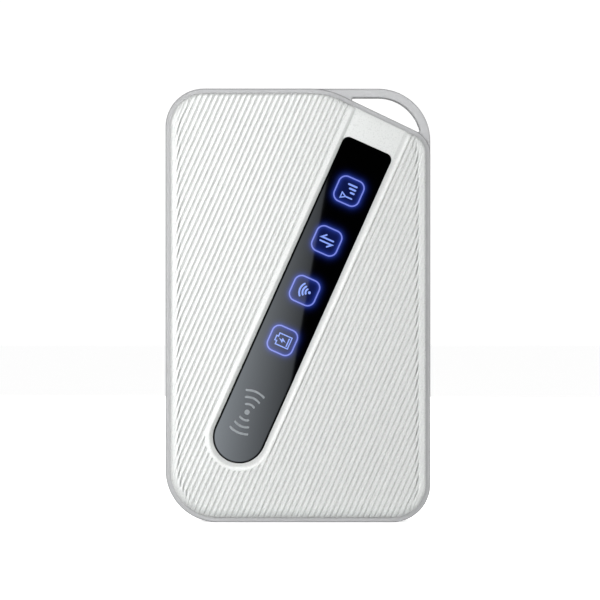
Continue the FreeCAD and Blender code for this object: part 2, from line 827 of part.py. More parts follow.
def side_key(label, side, along, half):
    """A side key: its cap, the switch on the board and the plunger between them."""

    def span(near, far):
        """Limits along x, from distances inwards of the outer wall."""
        outer, inner = half_width - near, half_width - far
        return (inner, outer) if side > 0 else (-outer, -inner)

    flange_at = d.frame_wall + d.key_inner_gap
    flange_end = flange_at + d.key_flange
    cap = new_body(f"{label}_button")
    face = block(cap, "cap", span(d.key_sunk, flange_at), centred(along, half),
                 centred(d.key_level, d.key_half_thick))
    round_edges(cap, "cap_ends", face, d.key_end_round, along_x)
    flange_z = (d.key_level - d.key_half_thick - d.key_lip_back, d.board_back - d.plunger_gap)
    block(cap, "flange", span(flange_at, flange_end), centred(along, half + d.key_lip), flange_z)
    stand(cap)
    front = flange_end + d.key_travel + d.switch_gap
    switch = new_body(f"{label}_switch")
    block(switch, "case", span(front, front + d.switch_deep), centred(along, d.switch_half),
          (d.board_back - d.switch_tall, d.board_back))
    gap = d.plunger_gap
    hole_end = front + d.plunger_in + d.key_travel + gap * 2
    block(switch, "plunger_hole", span(front, hole_end), centred(along, d.plunger_half + gap),
          centred(d.key_level, d.plunger_half_thick + gap), cut=True)
    stand(switch)
    plunger = new_body(f"{label}_plunger")
    block(plunger, "plunger", span(flange_end, front + d.plunger_in), centred(along, d.plunger_half),
          centred(d.key_level, d.plunger_half_thick))
    stand(plunger)


def reset_key():
    """The reset switch under the board and its short round button."""
    x, y = d.reset_across, d.reset_along
    case_back = d.board_back - d.reset_case_tall
    hole_front = d.board_back - d.reset_hole_end
    switch = new_body("reset_switch")
    block(switch, "case", centred(x, d.reset_case_across / 2), centred(y, d.reset_case_along / 2),
          (case_back, d.board_back))
    rod(switch, "button_hole", (x, y), d.reset_radius + d.plunger_gap, (case_back, hole_front), cut=True)
    stand(switch)
    button = new_body("reset_button")
    rod(button, "button", (x, y), d.reset_radius,
        (case_back - d.reset_button_out, hole_front - d.reset_button_gap))
    stand(button)


def card_set(holder_label, card_label, low, across, along, thick):
    """A card holder on the board's back side, open towards +x, and the card in it."""
    left, wall, gap = d.card_left, d.holder_wall, d.card_gap
    right = left + d.holder_across
    card_back = d.board_back - wall - gap - thick
    case_back = card_back - gap - wall
    slot_x = (left + wall, right)
    case_y = (low, low + along + (wall + gap) * 2)
    slot_y = (case_y[0] + wall, case_y[1] - wall)
    holder = new_body(holder_label)
    block(holder, "case", (left, right), case_y, (case_back, d.board_back))
    block(holder, "card_slot", slot_x, slot_y, (card_back - gap, d.board_back - wall), cut=True)
    block(holder, "thumb_cut", (right - d.thumb_deep, right),
          centred((case_y[0] + case_y[1]) / 2, d.thumb_half), (case_back, card_back - gap), cut=True)
    stand(holder)
    card = new_body(card_label)
    card_left, card_low = slot_x[0] + d.card_back_gap, slot_y[0] + gap
    base = block(card, "card", (card_left, card_left + across), (card_low, card_low + along),
                 (card_back, card_back + thick))
    round_edges(card, "card_corners", base, d.card_round, upright)
    stand(card)


# ---------------------------------------------------------------- back


def rear_chassis():
    """The inner frame: deck, battery bay, service window, screw posts and reset pinhole."""
    body = new_body("rear_chassis")
    wall = d.bay_wall
    deck = (d.deck_back, deck_front)
    outline_pad(body, "deck", d.frame_wall + d.deck_gap, d.deck_back, deck_front)
    block(body, "bay_block", centred(0, d.bay_half + wall), (d.bay_low - wall, bay_wall_top),
          (d.deck_back, d.bay_roof + d.roof_thick))
    for i, spot in enumerate(SCREW_SPOTS, start=1):
        rod(body, f"post_{i}", spot, d.boss_radius, (d.deck_back, d.board_back))
    bay_y = (d.bay_low, d.bay_high)
    block(body, "bay", centred(0, d.bay_half), bay_y, (d.deck_back, d.bay_roof), cut=True)
    service_y = (bay_wall_top + d.service_margin, d.service_high)
    block(body, "service_window", (d.service_left, d.service_right), service_y, deck, cut=True)
    block(body, "contact_slot", (d.contact_left, d.contact_right), (d.bay_high, bay_wall_top),
          (deck_front, d.bay_roof), cut=True)
    for i, spot in enumerate(SCREW_SPOTS, start=1):
        seat, way = d.screw_head + d.screw_head_gap, d.screw_radius + d.screw_way_gap
        rod(body, f"head_seat_{i}", spot, seat, (d.deck_back, head_front), cut=True)
        rod(body, f"screw_way_{i}", spot, way, (head_front, d.board_back), cut=True)
    rod(body, "reset_pinhole", (d.reset_across, d.reset_along), d.reset_pinhole, deck, cut=True)
    stand(body)


def housing_screws():
    """Four cross-head screws from the chassis deck through the board into the front cover."""
    body = new_body("housing_screws")
    for i, spot in enumerate(SCREW_SPOTS, start=1):
        rod(body, f"head_{i}", spot, d.screw_head, (head_back, head_front))
        rod(body, f"shank_{i}", spot, d.screw_radius, (head_front, head_front + d.screw_length))
    long, short = d.cross_half, d.cross_half_thick
    for i, (x, y) in enumerate(SCREW_SPOTS, start=1):
        recess = (head_back, head_back + d.cross_deep)
        block(body, f"cross_x_{i}", centred(x, long), centred(y, short), recess, cut=True)
        block(body, f"cross_y_{i}", centred(x, short), centred(y, long), recess, cut=True)
    stand(body)


def battery():
    """The battery pack and its blank label."""
    pack = new_body("battery_pack")
    gap = d.battery_gap
    x = centred(0, d.bay_half - gap)
    y = (d.bay_low + gap, d.bay_high - gap)
    z = (d.battery_back, d.battery_back + d.battery_thick)
    base = block(pack, "cell", x, y, z)
    round_edges(pack, "cell_edges", base, d.battery_round, along_y)
    stand(pack)
    label = new_body("battery_label")
    margin = d.label_margin
    sheet = block(label, "label", (x[0] + margin, x[1] - margin), (y[0] + margin, y[1] - margin * 2),
                  (d.battery_back - d.label_thick, d.battery_back))
    round_edges(label, "label_corners", sheet, d.label_round, upright)
    stand(label)


def bay_label():
    """The blank label stuck to the bay's roof."""
    body = new_body("bay_label")
    half = d.bay_label_half
    sheet = block(body, "label", centred(0, half), centred((d.bay_low + d.bay_high) / 2, half),
                  (d.bay_roof - d.label_thick, d.bay_roof))
    round_edges(body, "label_corners", sheet, d.label_round, upright)
    stand(body)


def battery_connector():
    """The contact block behind the bay's upper wall and its three spring contacts."""
    body = new_body("battery_connector")
    gap = d.connector_gap
    low = bay_wall_top + d.contact_inset
    block(body, "block", (d.contact_left + gap, d.contact_right - gap),
          (low, low + d.connector_deep), (deck_front + gap, d.board_back))
    stand(body)
    contacts = new_body("battery_contacts")
    y = (d.bay_high - d.battery_gap + d.contact_reach, low)
    for i in range(3):
        x = centred(d.contact_first + d.contact_pitch * i, d.contact_width / 2)
        block(contacts, f"contact_{i + 1}", x, y, (d.contact_back, d.contact_front))
    stand(contacts)


def battery_cover():
    """The removable back shell with its locating lip and fingernail notch."""
    body = new_body("battery_cover")
    slab = outline_pad(body, "shell", d.back_inset, Size(0), d.back_rim)
    round_edges(body, "back_edge", slab, d.back_round, lambda e: at_height(e, 0))
    lip_top = d.back_rim + d.lip_rise
    outline_pad(body, "lip", d.lip_inset, d.back_floor, lip_top)
    outline_pocket(body, "lip_hollow", d.lip_inset + d.lip_wall, d.back_floor, lip_top)
    notch = (-half_length, -half_length + d.notch_deep)
    block(body, "nail_notch", centred(0, d.notch_half), notch,
          (d.back_rim - d.notch_tall, d.back_rim), cut=True)
    stand(body)


# ---------------------------------------------------------------- build


def build():
    """Makes every piece."""
    mid_frame()
    front_cover()
    display_window()
    window_adhesive()
    icon_film()
    light_baffle()
    main_board()
    status_leds()
    for maker, parts in ((chip, CHIPS), (shield, SHIELDS), (antenna, ANTENNAS)):
        for label, sizes in parts.items():
            maker(label, *sizes)
    usb_socket()
    side_key("power", -1, d.power_along, d.power_half)
    side_key("pairing", 1, d.pairing_along, d.pairing_half)
    reset_key()
    card_set("sim_holder", "sim_card", d.sim_low, d.sim_across, d.sim_along, d.sim_thick)
    card_set("memory_card_holder", "memory_card", d.memory_low, d.memory_across,
             d.memory_along, d.memory_thick)
    rear_chassis()
    housing_screws()
    battery()
    bay_label()
    battery_connector()
    battery_cover()
    doc.recompute()


def check():
    """Stops on any failed object or bad shape."""
    for item in doc.Objects:
        if "Invalid" in item.State or "Error" in item.State:
            raise RuntimeError(f"{item.Label} failed: {item.State}")
    for body in pieces:
        shape = body.Shape
        if shape.isNull() or not shape.isValid() or not shape.Solids:
            raise RuntimeError(f"{body.Label} has no valid solid")
        print(f"{body.Label}: {len(shape.Solids)} solid(s), {shape.Volume:.1f} mm3")


def export():
    """Writes each piece to its own file."""
    os.makedirs(OUT_FOLDER, exist_ok=True)
    for body in pieces:
        body.Shape.exportStep(os.path.join(OUT_FOLDER, f"{body.Label}.step"))


build()
check()
export()
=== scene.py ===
import json
import math

import bmesh
import bpy
import numpy as np
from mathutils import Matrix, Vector
from mathutils.geometry import delaunay_2d_cdt

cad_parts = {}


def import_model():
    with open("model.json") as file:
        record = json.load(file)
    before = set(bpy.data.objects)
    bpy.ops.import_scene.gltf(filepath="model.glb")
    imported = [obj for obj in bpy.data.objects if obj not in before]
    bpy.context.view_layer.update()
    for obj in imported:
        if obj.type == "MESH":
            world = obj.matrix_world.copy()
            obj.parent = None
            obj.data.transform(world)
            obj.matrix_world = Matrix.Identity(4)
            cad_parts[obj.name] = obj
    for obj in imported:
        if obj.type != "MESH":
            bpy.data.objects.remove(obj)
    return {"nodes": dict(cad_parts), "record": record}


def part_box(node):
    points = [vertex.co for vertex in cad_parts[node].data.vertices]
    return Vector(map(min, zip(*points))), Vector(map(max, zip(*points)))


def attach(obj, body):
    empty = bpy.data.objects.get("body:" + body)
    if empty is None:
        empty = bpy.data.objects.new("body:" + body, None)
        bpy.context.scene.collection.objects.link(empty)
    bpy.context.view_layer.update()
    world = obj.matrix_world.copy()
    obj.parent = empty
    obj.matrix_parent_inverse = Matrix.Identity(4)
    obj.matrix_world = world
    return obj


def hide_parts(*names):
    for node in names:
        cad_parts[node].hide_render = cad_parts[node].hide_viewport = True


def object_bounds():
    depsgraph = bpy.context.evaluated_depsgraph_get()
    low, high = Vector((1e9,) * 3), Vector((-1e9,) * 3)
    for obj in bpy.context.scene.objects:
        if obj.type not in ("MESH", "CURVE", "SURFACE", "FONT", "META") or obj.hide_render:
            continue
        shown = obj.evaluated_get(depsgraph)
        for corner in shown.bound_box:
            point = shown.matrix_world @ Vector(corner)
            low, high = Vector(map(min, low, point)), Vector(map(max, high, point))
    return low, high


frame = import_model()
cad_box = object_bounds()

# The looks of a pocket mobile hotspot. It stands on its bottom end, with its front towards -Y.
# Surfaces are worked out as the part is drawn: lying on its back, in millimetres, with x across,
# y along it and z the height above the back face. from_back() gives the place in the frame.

MM = 0.001
FRAME_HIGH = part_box("mid_frame")[1]
COVER_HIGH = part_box("front_cover")[1]
LENS_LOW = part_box("display_window")[0]

HALF_WIDTH = FRAME_HIGH.x / MM
HALF_LENGTH = FRAME_HIGH.z / MM / 2
BACK_Y = cad_box[1].y / MM
DEPTH = (cad_box[1].y - cad_box[0].y) / MM
INSET = (FRAME_HIGH.x - COVER_HIGH.x) / MM
SKIRT = BACK_Y - COVER_HIGH.y / MM
LENS_FRONT = BACK_Y - LENS_LOW.y / MM

# outline
CORNER_SMALL = 8.85
CORNER_LARGE = 12.05
CUT_TILT = math.radians(25.5)
CUT_DISTANCE = 48.0
CUT_BLEND_TOP = 17.0
CUT_BLEND_SIDE = 6.0

# front cover's shell and shoulder
SHOULDER = 1.9
SHOULDER_POWER = 4.0
FOOT_ROUNDER = 2.1
SIDE_TOP = 12.2
EDGE_LIFT = 0.03
WALL = 1.1

# ribs: grooves run along the display strip and fade out near the left and right edges
RIB_PITCH = 1.161
RIB_START = 8.0
GROOVE_DEPTH = 0.45
GROOVE_HALF = 0.35
GROOVE_LINES = 6
KINK = 0.55
KINK_START = 2.28
SIDE_FADE = 0.85
FADE_IN = 1.45
FADE_OUT = 1.8
NOTCH = 0.5
NOTCH_MIDDLE = 2.0
NOTCH_SPREAD = 0.3
SIDEWAYS_LOW = 0.45
SIDEWAYS_HIGH = 0.9

# how far inside the cover's outline its mesh has a line, closer together where the grooves bend
EDGE_LOOPS = [0.06, 0.16, 0.3, 0.5, 0.75, 1.0] + [1.2 + 0.12 * k for k in range(12)] + [2.8, 3.2]

# display strip: a smooth trough with the window sunk into a seat in its floor
STRIP_TILT = math.radians(24.03)
STRIP_LOW = -33.1
TROUGH_DEPTH = 0.8
FLOOR_FALL = 0.13
FLOOR_FALL_WIDTH = 1.4
TROUGH_BLEND = 0.1
TROUGH_BORDER = 7.8
BORDER_WIDTH = 0.25
TROUGH_TOP_LEFT = 6.95
TROUGH_TOP_RIGHT = 7.5
TROUGH_FOOT = 6.17
TROUGH_CURVE = 1.5
SEAT_HALF = 6.13
SEAT_TOP = 40.31
SEAT_CORNER = 1.56
SEAT_FLOOR = 12.45
HOLE_HALF = 5.18
HOLE_CORNER = 0.8
PAD_HALF = 7.9
PAD_TOP = 45.3
PAD_CORNER = 1.0
PAD_BACK = 11.5
CEILING = SEAT_FLOOR + 0.45

# half widths at which the trough's walls and border have a line in the mesh
TROUGH_LINES = [TROUGH_BORDER + BORDER_WIDTH, TROUGH_BORDER + 0.12, TROUGH_BORDER, TROUGH_TOP_RIGHT,
                7.3, 7.12, TROUGH_TOP_LEFT, 6.8, 6.65, 6.5, TROUGH_FOOT]

# mesh: lengths of the chords that arcs are cut into, reaches past the cover's edges, the
# shortest rib that gets lines, the step of the search for its ends, and the distances within
# which a triangulation joins points
RIM_CHORD = 0.25
LOOP_CHORD = 0.35
INNER_CHORD = 0.4
STRIP_CHORD = 0.3
FAR = 60
PAST_ENDS = 70
RIB_OVERRUN = 0.3
BORDER_OVERRUN = 0.05
SHORTEST_RIB = 0.5
SPAN_STEP = 0.1
FACE_JOIN = 1e-5
FLAT_JOIN = 1e-7

# steps over which slopes are measured, how far a corner's normal is taken into its face, and
# the angle from which an edge is sharp
EDGE_STEP = 0.05
SLOPE_STEP = 0.01
CORNER_SHIFT = 0.05
SHARP_ANGLE = math.radians(35)

# middles of the lit symbols along the strip
ICON_PITCH = 12.53
ICONS = [-8.8 + ICON_PITCH * i for i in range(4)]


def from_back(x, y, z):
    """A place in the frame, in metres, from one on the part lying on its back."""
    return Vector((x, BACK_Y - z, y + HALF_LENGTH)) * MM


def strip_to_body(v, u):
    """x and y of a place across (v) and along (u) the display strip."""
    c, s = math.cos(STRIP_TILT), math.sin(STRIP_TILT)
    return v * c + u * s, u * c - v * s


def body_to_strip(x, y):
    """Across and along the display strip, for a place on the body."""
    c, s = math.cos(STRIP_TILT), math.sin(STRIP_TILT)
    return x * c - y * s, x * s + y * c


# ---------------------------------------------------------------- front cover's surface


def cover_sides(inset):
    """Each side of the cut outline: its normal's angle, its distance and the corner after it."""
    right, top = HALF_WIDTH - inset, HALF_LENGTH - inset
    small, large = CORNER_SMALL - inset, CORNER_LARGE - inset
    return [
        (math.pi, right, large),
        (math.pi * 1.5, top, small),
        (math.pi * 2, right, CUT_BLEND_SIDE - inset),
        (math.pi * 2.5 - CUT_TILT, CUT_DISTANCE - inset, CUT_BLEND_TOP - inset),
        (math.pi * 2.5, top, small),
    ]


def corner_centre(side, after):
    """The centre of the arc between two sides."""
    reach_one, reach_two = side[1] - side[2], after[1] - side[2]
    ax, ay = math.cos(side[0]), math.sin(side[0])
    bx, by = math.cos(after[0]), math.sin(after[0])
    cross = ax * by - bx * ay
    return (reach_one * by - reach_two * ay) / cross, (reach_two * ax - reach_one * bx) / cross


def cover_corners(inset):
    """Each corner arc of the outline: centre, radius, start angle and sweep."""
    sides = cover_sides(inset)
    arcs = []
    for i, side in enumerate(sides):
        after = sides[(i + 1) % len(sides)]
        sweep = (after[0] - side[0]) % (math.pi * 2)
        arcs.append((*corner_centre(side, after), side[2], side[0], sweep))
    return arcs


def outline_loop(inset, chord):
    """The outline moved inwards, as points with arcs cut into chords, counter-clockwise."""
    points = []
    for cx, cy, radius, start, sweep in cover_corners(inset):
        steps = max(2, round(radius * sweep / chord))
        for k in range(steps + 1):
            turn = start + sweep * k / steps
            points.append((cx + radius * math.cos(turn), cy + radius * math.sin(turn)))
    return points


COVER_SIDES = cover_sides(INSET)
COVER_CORNERS = cover_corners(INSET)


def edge_distance(x, y):
    """How far inside the cover's outline a place is."""
    inside = np.full_like(x, np.inf)
    for angle, reach, _ in COVER_SIDES:
        inside = np.minimum(inside, reach - x * math.cos(angle) - y * math.sin(angle))
    for cx, cy, radius, start, sweep in COVER_CORNERS:
        dx, dy = x - cx, y - cy
        turn = (np.arctan2(dy, dx) - start) % (math.pi * 2)
        inside = np.where(turn <= sweep, np.minimum(inside, radius - np.hypot(dx, dy)), inside)
    return inside


def strip_distance(v, u):
    """Distance from the strip's centre line, which ends at STRIP_LOW."""
    return np.where(u < STRIP_LOW, np.hypot(v, u - STRIP_LOW), np.abs(v)) + 1e-9


def smooth(low, high, value):
    """0 below low, 1 above high, and a smooth step between."""
    t = np.clip((value - low) / (high - low), 0, 1)
    return t * t * (3 - 2 * t)


def edge_slope(x, y):
    """The way inwards from the nearest stretch of edge, along x and y."""
    across = edge_distance(x + EDGE_STEP, y) - edge_distance(x - EDGE_STEP, y)
    along = edge_distance(x, y + EDGE_STEP) - edge_distance(x, y - EDGE_STEP)
    return across / (2 * EDGE_STEP), along / (2 * EDGE_STEP)


def shoulder_height(e, along):
    """Height of the smooth cover at a distance e inside its edge, rounder at the bottom end."""
    fall = 1 - np.clip((e + EDGE_LIFT) / SHOULDER, 0, 1)
    power = SHOULDER_POWER - FOOT_ROUNDER * np.clip(along, 0, 1)
    return SIDE_TOP + (DEPTH - SIDE_TOP) * (1 - fall ** power) ** (1 / power)


def groove_depth(e, v, s, across):
    """Depth of the grooves, which bend, deepen once and fade out towards the sides."""
    sideways = np.sign(across) * smooth(SIDEWAYS_LOW, SIDEWAYS_HIGH, np.abs(across))
    shift = KINK * np.minimum(e - KINK_START, 0) * sideways
    phase = (v + shift - RIB_START) / RIB_PITCH
    t = np.abs(phase - np.round(phase)) * RIB_PITCH
    groove = 0.5 + 0.5 * np.cos(math.pi * np.clip(t / GROOVE_HALF, 0, 1))
    ribbed = smooth(TROUGH_BORDER, TROUGH_BORDER + BORDER_WIDTH, s)
    notch = NOTCH * np.exp(-((e - NOTCH_MIDDLE) / NOTCH_SPREAD) ** 2)
    sides = 1 - SIDE_FADE * (1 - smooth(FADE_IN, FADE_OUT, e)) + notch
    ribbed = ribbed * (1 + (sides - 1) * np.abs(sideways))
    return GROOVE_DEPTH * groove * ribbed


def cover_height(x, y):
    """Height of the front cover's face above the back."""
    e = np.clip(edge_distance(x, y), 0, None)
    v, u = body_to_strip(x, y)
    s = strip_distance(v, u)
    across, along = edge_slope(x, y)
    face = shoulder_height(e, along) - groove_depth(e, v, s, across)
    deep = TROUGH_DEPTH + FLOOR_FALL * (1 - np.clip(e / FLOOR_FALL_WIDTH, 0, 1)) ** 2
    above = face - (DEPTH - deep)
    above = (above + np.sqrt(above ** 2 + TROUGH_BLEND ** 2)) / 2
    lean = 0.5 + 0.5 * np.clip(v / s, -1, 1)
    wall_top = TROUGH_TOP_LEFT + (TROUGH_TOP_RIGHT - TROUGH_TOP_LEFT) * lean
    sink = np.clip((wall_top - s) / (wall_top - TROUGH_FOOT), 0, 1) ** TROUGH_CURVE
    return face - np.minimum(above, deep) * sink


def cover_normals(x, y):
    """The face's normals, in the part's lying position."""
    step = SLOPE_STEP
    dx = (cover_height(x + step, y) - cover_height(x - step, y)) / (2 * step)
    dy = (cover_height(x, y + step) - cover_height(x, y - step)) / (2 * step)
    normals = np.stack([-dx, -dy, np.ones_like(dx)], axis=1)
    return normals / np.linalg.norm(normals, axis=1)[:, None]


def strip_end(half):
    """The round lower end of a strip, as v, u points from its left side to its right."""
    steps = round(math.pi * half / STRIP_CHORD)
    turns = [math.pi + math.pi * k / steps for k in range(steps + 1)]
    return [(half * math.cos(a), STRIP_LOW + half * math.sin(a)) for a in turns]


def strip_loop(half, top, corner):
    """A strip's outline with a round lower end, as x, y points, counter-clockwise."""
    points = strip_end(half)
    quarter = math.pi / 2
    for side, start in ((1, 0), (-1, quarter)):
        cv, cu = side * (half - corner), top - corner
        steps = max(1, round(corner * quarter / STRIP_CHORD * 1.5))
        for k in range(steps + 1):
            turn = start + quarter * k / steps
            points.append((cv + corner * math.cos(turn), cu + corner * math.sin(turn)))
    return [strip_to_body(v, u) for v, u in points]


class Drawing:
    """Points and the lines between them, for a triangulation that keeps to the lines."""

    def __init__(self):
        self.points = []
        self.lines = []

    def add(self, path, closed=False):
        """Adds a path of points as lines."""
        first = len(self.points)
        self.points += path
        self.lines += [(first + i, first + i + 1) for i in range(len(path) - 1)]
        if closed:
            self.lines.append((first + len(path) - 1, first))

    def triangles(self):
        """The points, with those where lines cross, and the triangles between them."""
        points = [Vector(p) for p in self.points]
        made = delaunay_2d_cdt(points, self.lines, [], 0, FACE_JOIN, False)
        return np.array([tuple(p) for p in made[0]]), np.array(made[2])


def line_span(v):
    """Where a line along the strip, v from its middle, enters and leaves the cover."""
    along = np.linspace(-PAST_ENDS, PAST_ENDS, round(2 * PAST_ENDS / SPAN_STEP) + 1)
    x, y = strip_to_body(np.full_like(along, v), along)
    found = np.nonzero(edge_distance(x, y) > 0)[0]
    if len(found) * SPAN_STEP < SHORTEST_RIB:
        return None
    return along[found[0]] - RIB_OVERRUN, along[found[-1]] + RIB_OVERRUN


def rib_lines():
    """Lines along the grooves and crests, as (v, low end, high end), kept off the trough."""
    offsets = [GROOVE_HALF * k / GROOVE_LINES for k in range(GROOVE_LINES + 1)] + [RIB_PITCH / 2]
    lines = []
    count = round(PAST_ENDS / RIB_PITCH)
    for n in range(-count, count):
        middle = RIB_START + n * RIB_PITCH
        for offset in [-o for o in offsets[1:-1]] + offsets:
            v = middle + offset
            span = line_span(v)
            if span is None:
                continue
            low, high = span
            if abs(v) < TROUGH_BORDER:
                high = STRIP_LOW - math.sqrt(TROUGH_BORDER ** 2 - v ** 2) + BORDER_OVERRUN
            lines.append((v, low, high))
    return lines


def clip_to_loop(a, b, loop):
    """The part of the segment a to b that lies inside a convex loop."""
    t_low, t_high = 0.0, 1.0
    dx, dy = b[0] - a[0], b[1] - a[1]
    for (px, py), (qx, qy) in zip(loop, loop[1:] + loop[:1]):
        nx, ny = py - qy, qx - px
        along = nx * dx + ny * dy
        start = nx * (a[0] - px) + ny * (a[1] - py)
        if abs(along) < 1e-12:
            continue
        t = -start / along
        if along > 0:
            t_low = max(t_low, t)
        else:
            t_high = min(t_high, t)
    if t_low >= t_high:
        return None
    return [(a[0] + dx * t, a[1] + dy * t) for t in (t_low, t_high)]


def face_drawing(outline):
    """Every line that the front cover's face needs, and the window seat's loop."""
    drawing = Drawing()
    drawing.add(outline, closed=True)
    seat = strip_loop(SEAT_HALF, SEAT_TOP, SEAT_CORNER)
    drawing.add(seat, closed=True)
    for inset in EDGE_LOOPS:
        drawing.add(outline_loop(INSET + inset, LOOP_CHORD), closed=True)
    for half in TROUGH_LINES:
        path = [(-half, FAR)] + strip_end(half) + [(half, FAR)]
        path = [strip_to_body(v, u) for v, u in path]
        first = clip_to_loop(path[0], path[1], outline)
        last = clip_to_loop(path[-2], path[-1], outline)
        drawing.add(first + path[2:-2] + last)
    for v, low, high in rib_lines():
        span = clip_to_loop(strip_to_body(v, low), strip_to_body(v, high), outline)
        if span:
            drawing.add(span)
    return drawing, seat


def borders(faces):
    """The loops round a sheet of triangles, from the edges that only one triangle has."""
    after = {}
    for a, b, c in faces:
        for edge in ((a, b), (b, c), (c, a)):
            if edge[::-1] in after:
                del after[edge[::-1]]
            else:
                after[edge] = edge[1]
    follow = {edge[0]: edge[1] for edge in after}
    loops = []
    while follow:
        first, here = follow.popitem()
        loop = [first]
        while here != first:
            loop.append(here)
            here = follow.pop(here)
        loops.append(loop)
    return sorted(loops, key=len)


def within(loop, places):
    """Which places are inside a loop."""
    found = np.zeros(len(places), bool)
    x, y = places[:, 0], places[:, 1]
    for (x0, y0), (x1, y1) in zip(loop, np.roll(loop, -1, axis=0)):
        if y0 == y1:
            continue
        crosses = (y0 > y) != (y1 > y)
        found ^= crosses & (x < x0 + (y - y0) * (x1 - x0) / (y1 - y0))
    return found


class Solid:
    """A closed mesh put together from loops of points, for the part lying on its back."""

    def __init__(self):
        self.points = []
        self.faces = []

    def put(self, path, height):
        """Adds a loop's points at one height and returns their numbers."""
        first = len(self.points)
        self.points += [(x, y, height) for x, y in path]
        return list(range(first, len(self.points)))

    def wall(self, loop, height):
        """A wall from a loop to a copy of it at another height, which is returned."""
        copy = self.put([self.points[i][:2] for i in loop], height)
        for i in range(len(loop)):
            j = (i + 1) % len(loop)
            self.faces.append((loop[i], loop[j], copy[j], copy[i]))
        return copy

    def fill(self, *loops):
        """Flat faces inside the first loop and outside the others, all at one height."""
        numbers = [i for loop in loops for i in loop]
        lines, first = [], 0
        for loop in loops:
            count = len(loop)
            lines += [(first + i, first + (i + 1) % count) for i in range(count)]
            first += count
        flat = [Vector(self.points[i][:2]) for i in numbers]
        made = delaunay_2d_cdt(flat, lines, [], 0, FLAT_JOIN)
        triangles = np.array(made[2])
        places = np.array([tuple(p) for p in flat])
        triangles = np.array([[made[3][k][0] for k in face] for face in triangles.tolist()])
        middles = places[triangles].mean(axis=1)
        keep = within(places[:len(loops[0])], middles)
        first = len(loops[0])
        for loop in loops[1:]:
            keep &= ~within(places[first:first + len(loop)], middles)
            first += len(loop)
        self.faces += [tuple(numbers[k] for k in face) for face in triangles[keep].tolist()]

    def object(self, name):
        """The finished object, with its faces turned outwards."""
        mesh = bpy.data.meshes.new(name)
        mesh.from_pydata([from_back(*p) for p in self.points], [], self.faces)
        work = bmesh.new()
        work.from_mesh(mesh)
        bmesh.ops.recalc_face_normals(work, faces=work.faces)
        work.to_mesh(mesh)
        work.free()
        mesh.shade_smooth()
        mesh.set_sharp_from_angle(angle=SHARP_ANGLE)
        made = bpy.data.objects.new(name, mesh)
        bpy.context.scene.collection.objects.link(made)
        return made


def front_cover():
    """The ribbed front cover, with the sunk strip that holds the display window."""
    outline = outline_loop(INSET, RIM_CHORD)
    drawing, seat = face_drawing(outline)
    points, triangles = drawing.triangles()
    keep = np.zeros(len(triangles), bool)
    middles = points[triangles].mean(axis=1)
    for (px, py), (qx, qy) in zip(seat, seat[1:] + seat[:1]):
        keep |= (qx - px) * (middles[:, 1] - py) - (qy - py) * (middles[:, 0] - px) < 0
    triangles = triangles[keep]
    solid = Solid()
    heights = cover_height(points[:, 0], points[:, 1])
    solid.points = [(x, y, z) for (x, y), z in zip(points.tolist(), heights.tolist())]
    solid.faces = [tuple(t) for t in triangles.tolist()]
    seat_edge, outer_edge = borders(solid.faces)
    skirt = solid.wall(outer_edge, SKIRT)
    inner = solid.put(outline_loop(INSET + WALL, INNER_CHORD), SKIRT)
    solid.fill(skirt, inner)
    ceiling = solid.wall(inner, CEILING)
    pad = solid.put(strip_loop(PAD_HALF, PAD_TOP, PAD_CORNER), CEILING)
    solid.fill(ceiling, pad)
    pad_back = solid.wall(pad, PAD_BACK)
    ledge_width = SEAT_HALF - HOLE_HALF
    hole = solid.put(strip_loop(HOLE_HALF, SEAT_TOP - ledge_width, HOLE_CORNER), PAD_BACK)
    solid.fill(pad_back, hole)
    ledge = solid.wall(hole, SEAT_FLOOR)
    seat_foot = solid.wall(seat_edge, SEAT_FLOOR)
    solid.fill(seat_foot, ledge)
    cover = solid.object("front_cover_skin")
    shade_face(cover.data, len(triangles))
    return cover


def shade_face(mesh, count):
    """Gives the first faces of the cover the true normals of its surface.

    Each corner's normal is taken a little way into its own face, so creases stay crisp.
    """
    corners = np.zeros(len(mesh.loops) * 3)
    mesh.corner_normals.foreach_get("vector", corners)
    corners = corners.reshape(-1, 3)
    vertices = np.zeros(len(mesh.loops), int)
    mesh.loops.foreach_get("vertex_index", vertices)
    places = np.zeros(len(mesh.vertices) * 3)
    mesh.vertices.foreach_get("co", places)
    places = places.reshape(-1, 3)[vertices[:count * 3]].reshape(count, 3, 3) / MM
    middles = places.mean(axis=1, keepdims=True)
    places = (places + (middles - places) * CORNER_SHIFT).reshape(-1, 3)
    true = cover_normals(places[:, 0], places[:, 2] - HALF_LENGTH)
    corners[:count * 3] = np.stack([true[:, 0], -true[:, 2], true[:, 1]], axis=1)
    mesh.normals_split_custom_set(corners.tolist())


# ---------------------------------------------------------------- display symbols

SYMBOL_LOW = LENS_FRONT - 0.01
SYMBOL_HIGH = LENS_FRONT + 0.015
FRAME_STROKE = 0.155
BOX_HALF = 3.05
BOX_CORNER = 1.7


def symbol_point(icon, across, up):
    """A place on a symbol. It reads sideways: its right is up the strip, its top to the left."""
    return strip_to_body(-up, icon + across)


def arc_points(cx, cy, radius, start, end, steps):
    """Points along an arc, with its angles in degrees."""
    turns = [math.radians(start + (end - start) * k / steps) for k in range(steps + 1)]
    return [(cx + radius * math.cos(t), cy + radius * math.sin(t)) for t in turns]


def round_dot(radius, sides, cy=0.0):
    """A filled dot's outline."""
    return arc_points(0, cy, radius, 0, 360 * (sides - 1) / sides, sides - 1)


def rounded_box(half_x, half_y, corner):
    """A rectangle's outline with round corners."""
    path = []
    x, y = half_x - corner, half_y - corner
    for start, cx, cy in ((0, x, y), (90, -x, y), (180, -x, -y), (270, x, -y)):
        path += arc_points(cx, cy, corner, start, start + 90, 8)
    return path


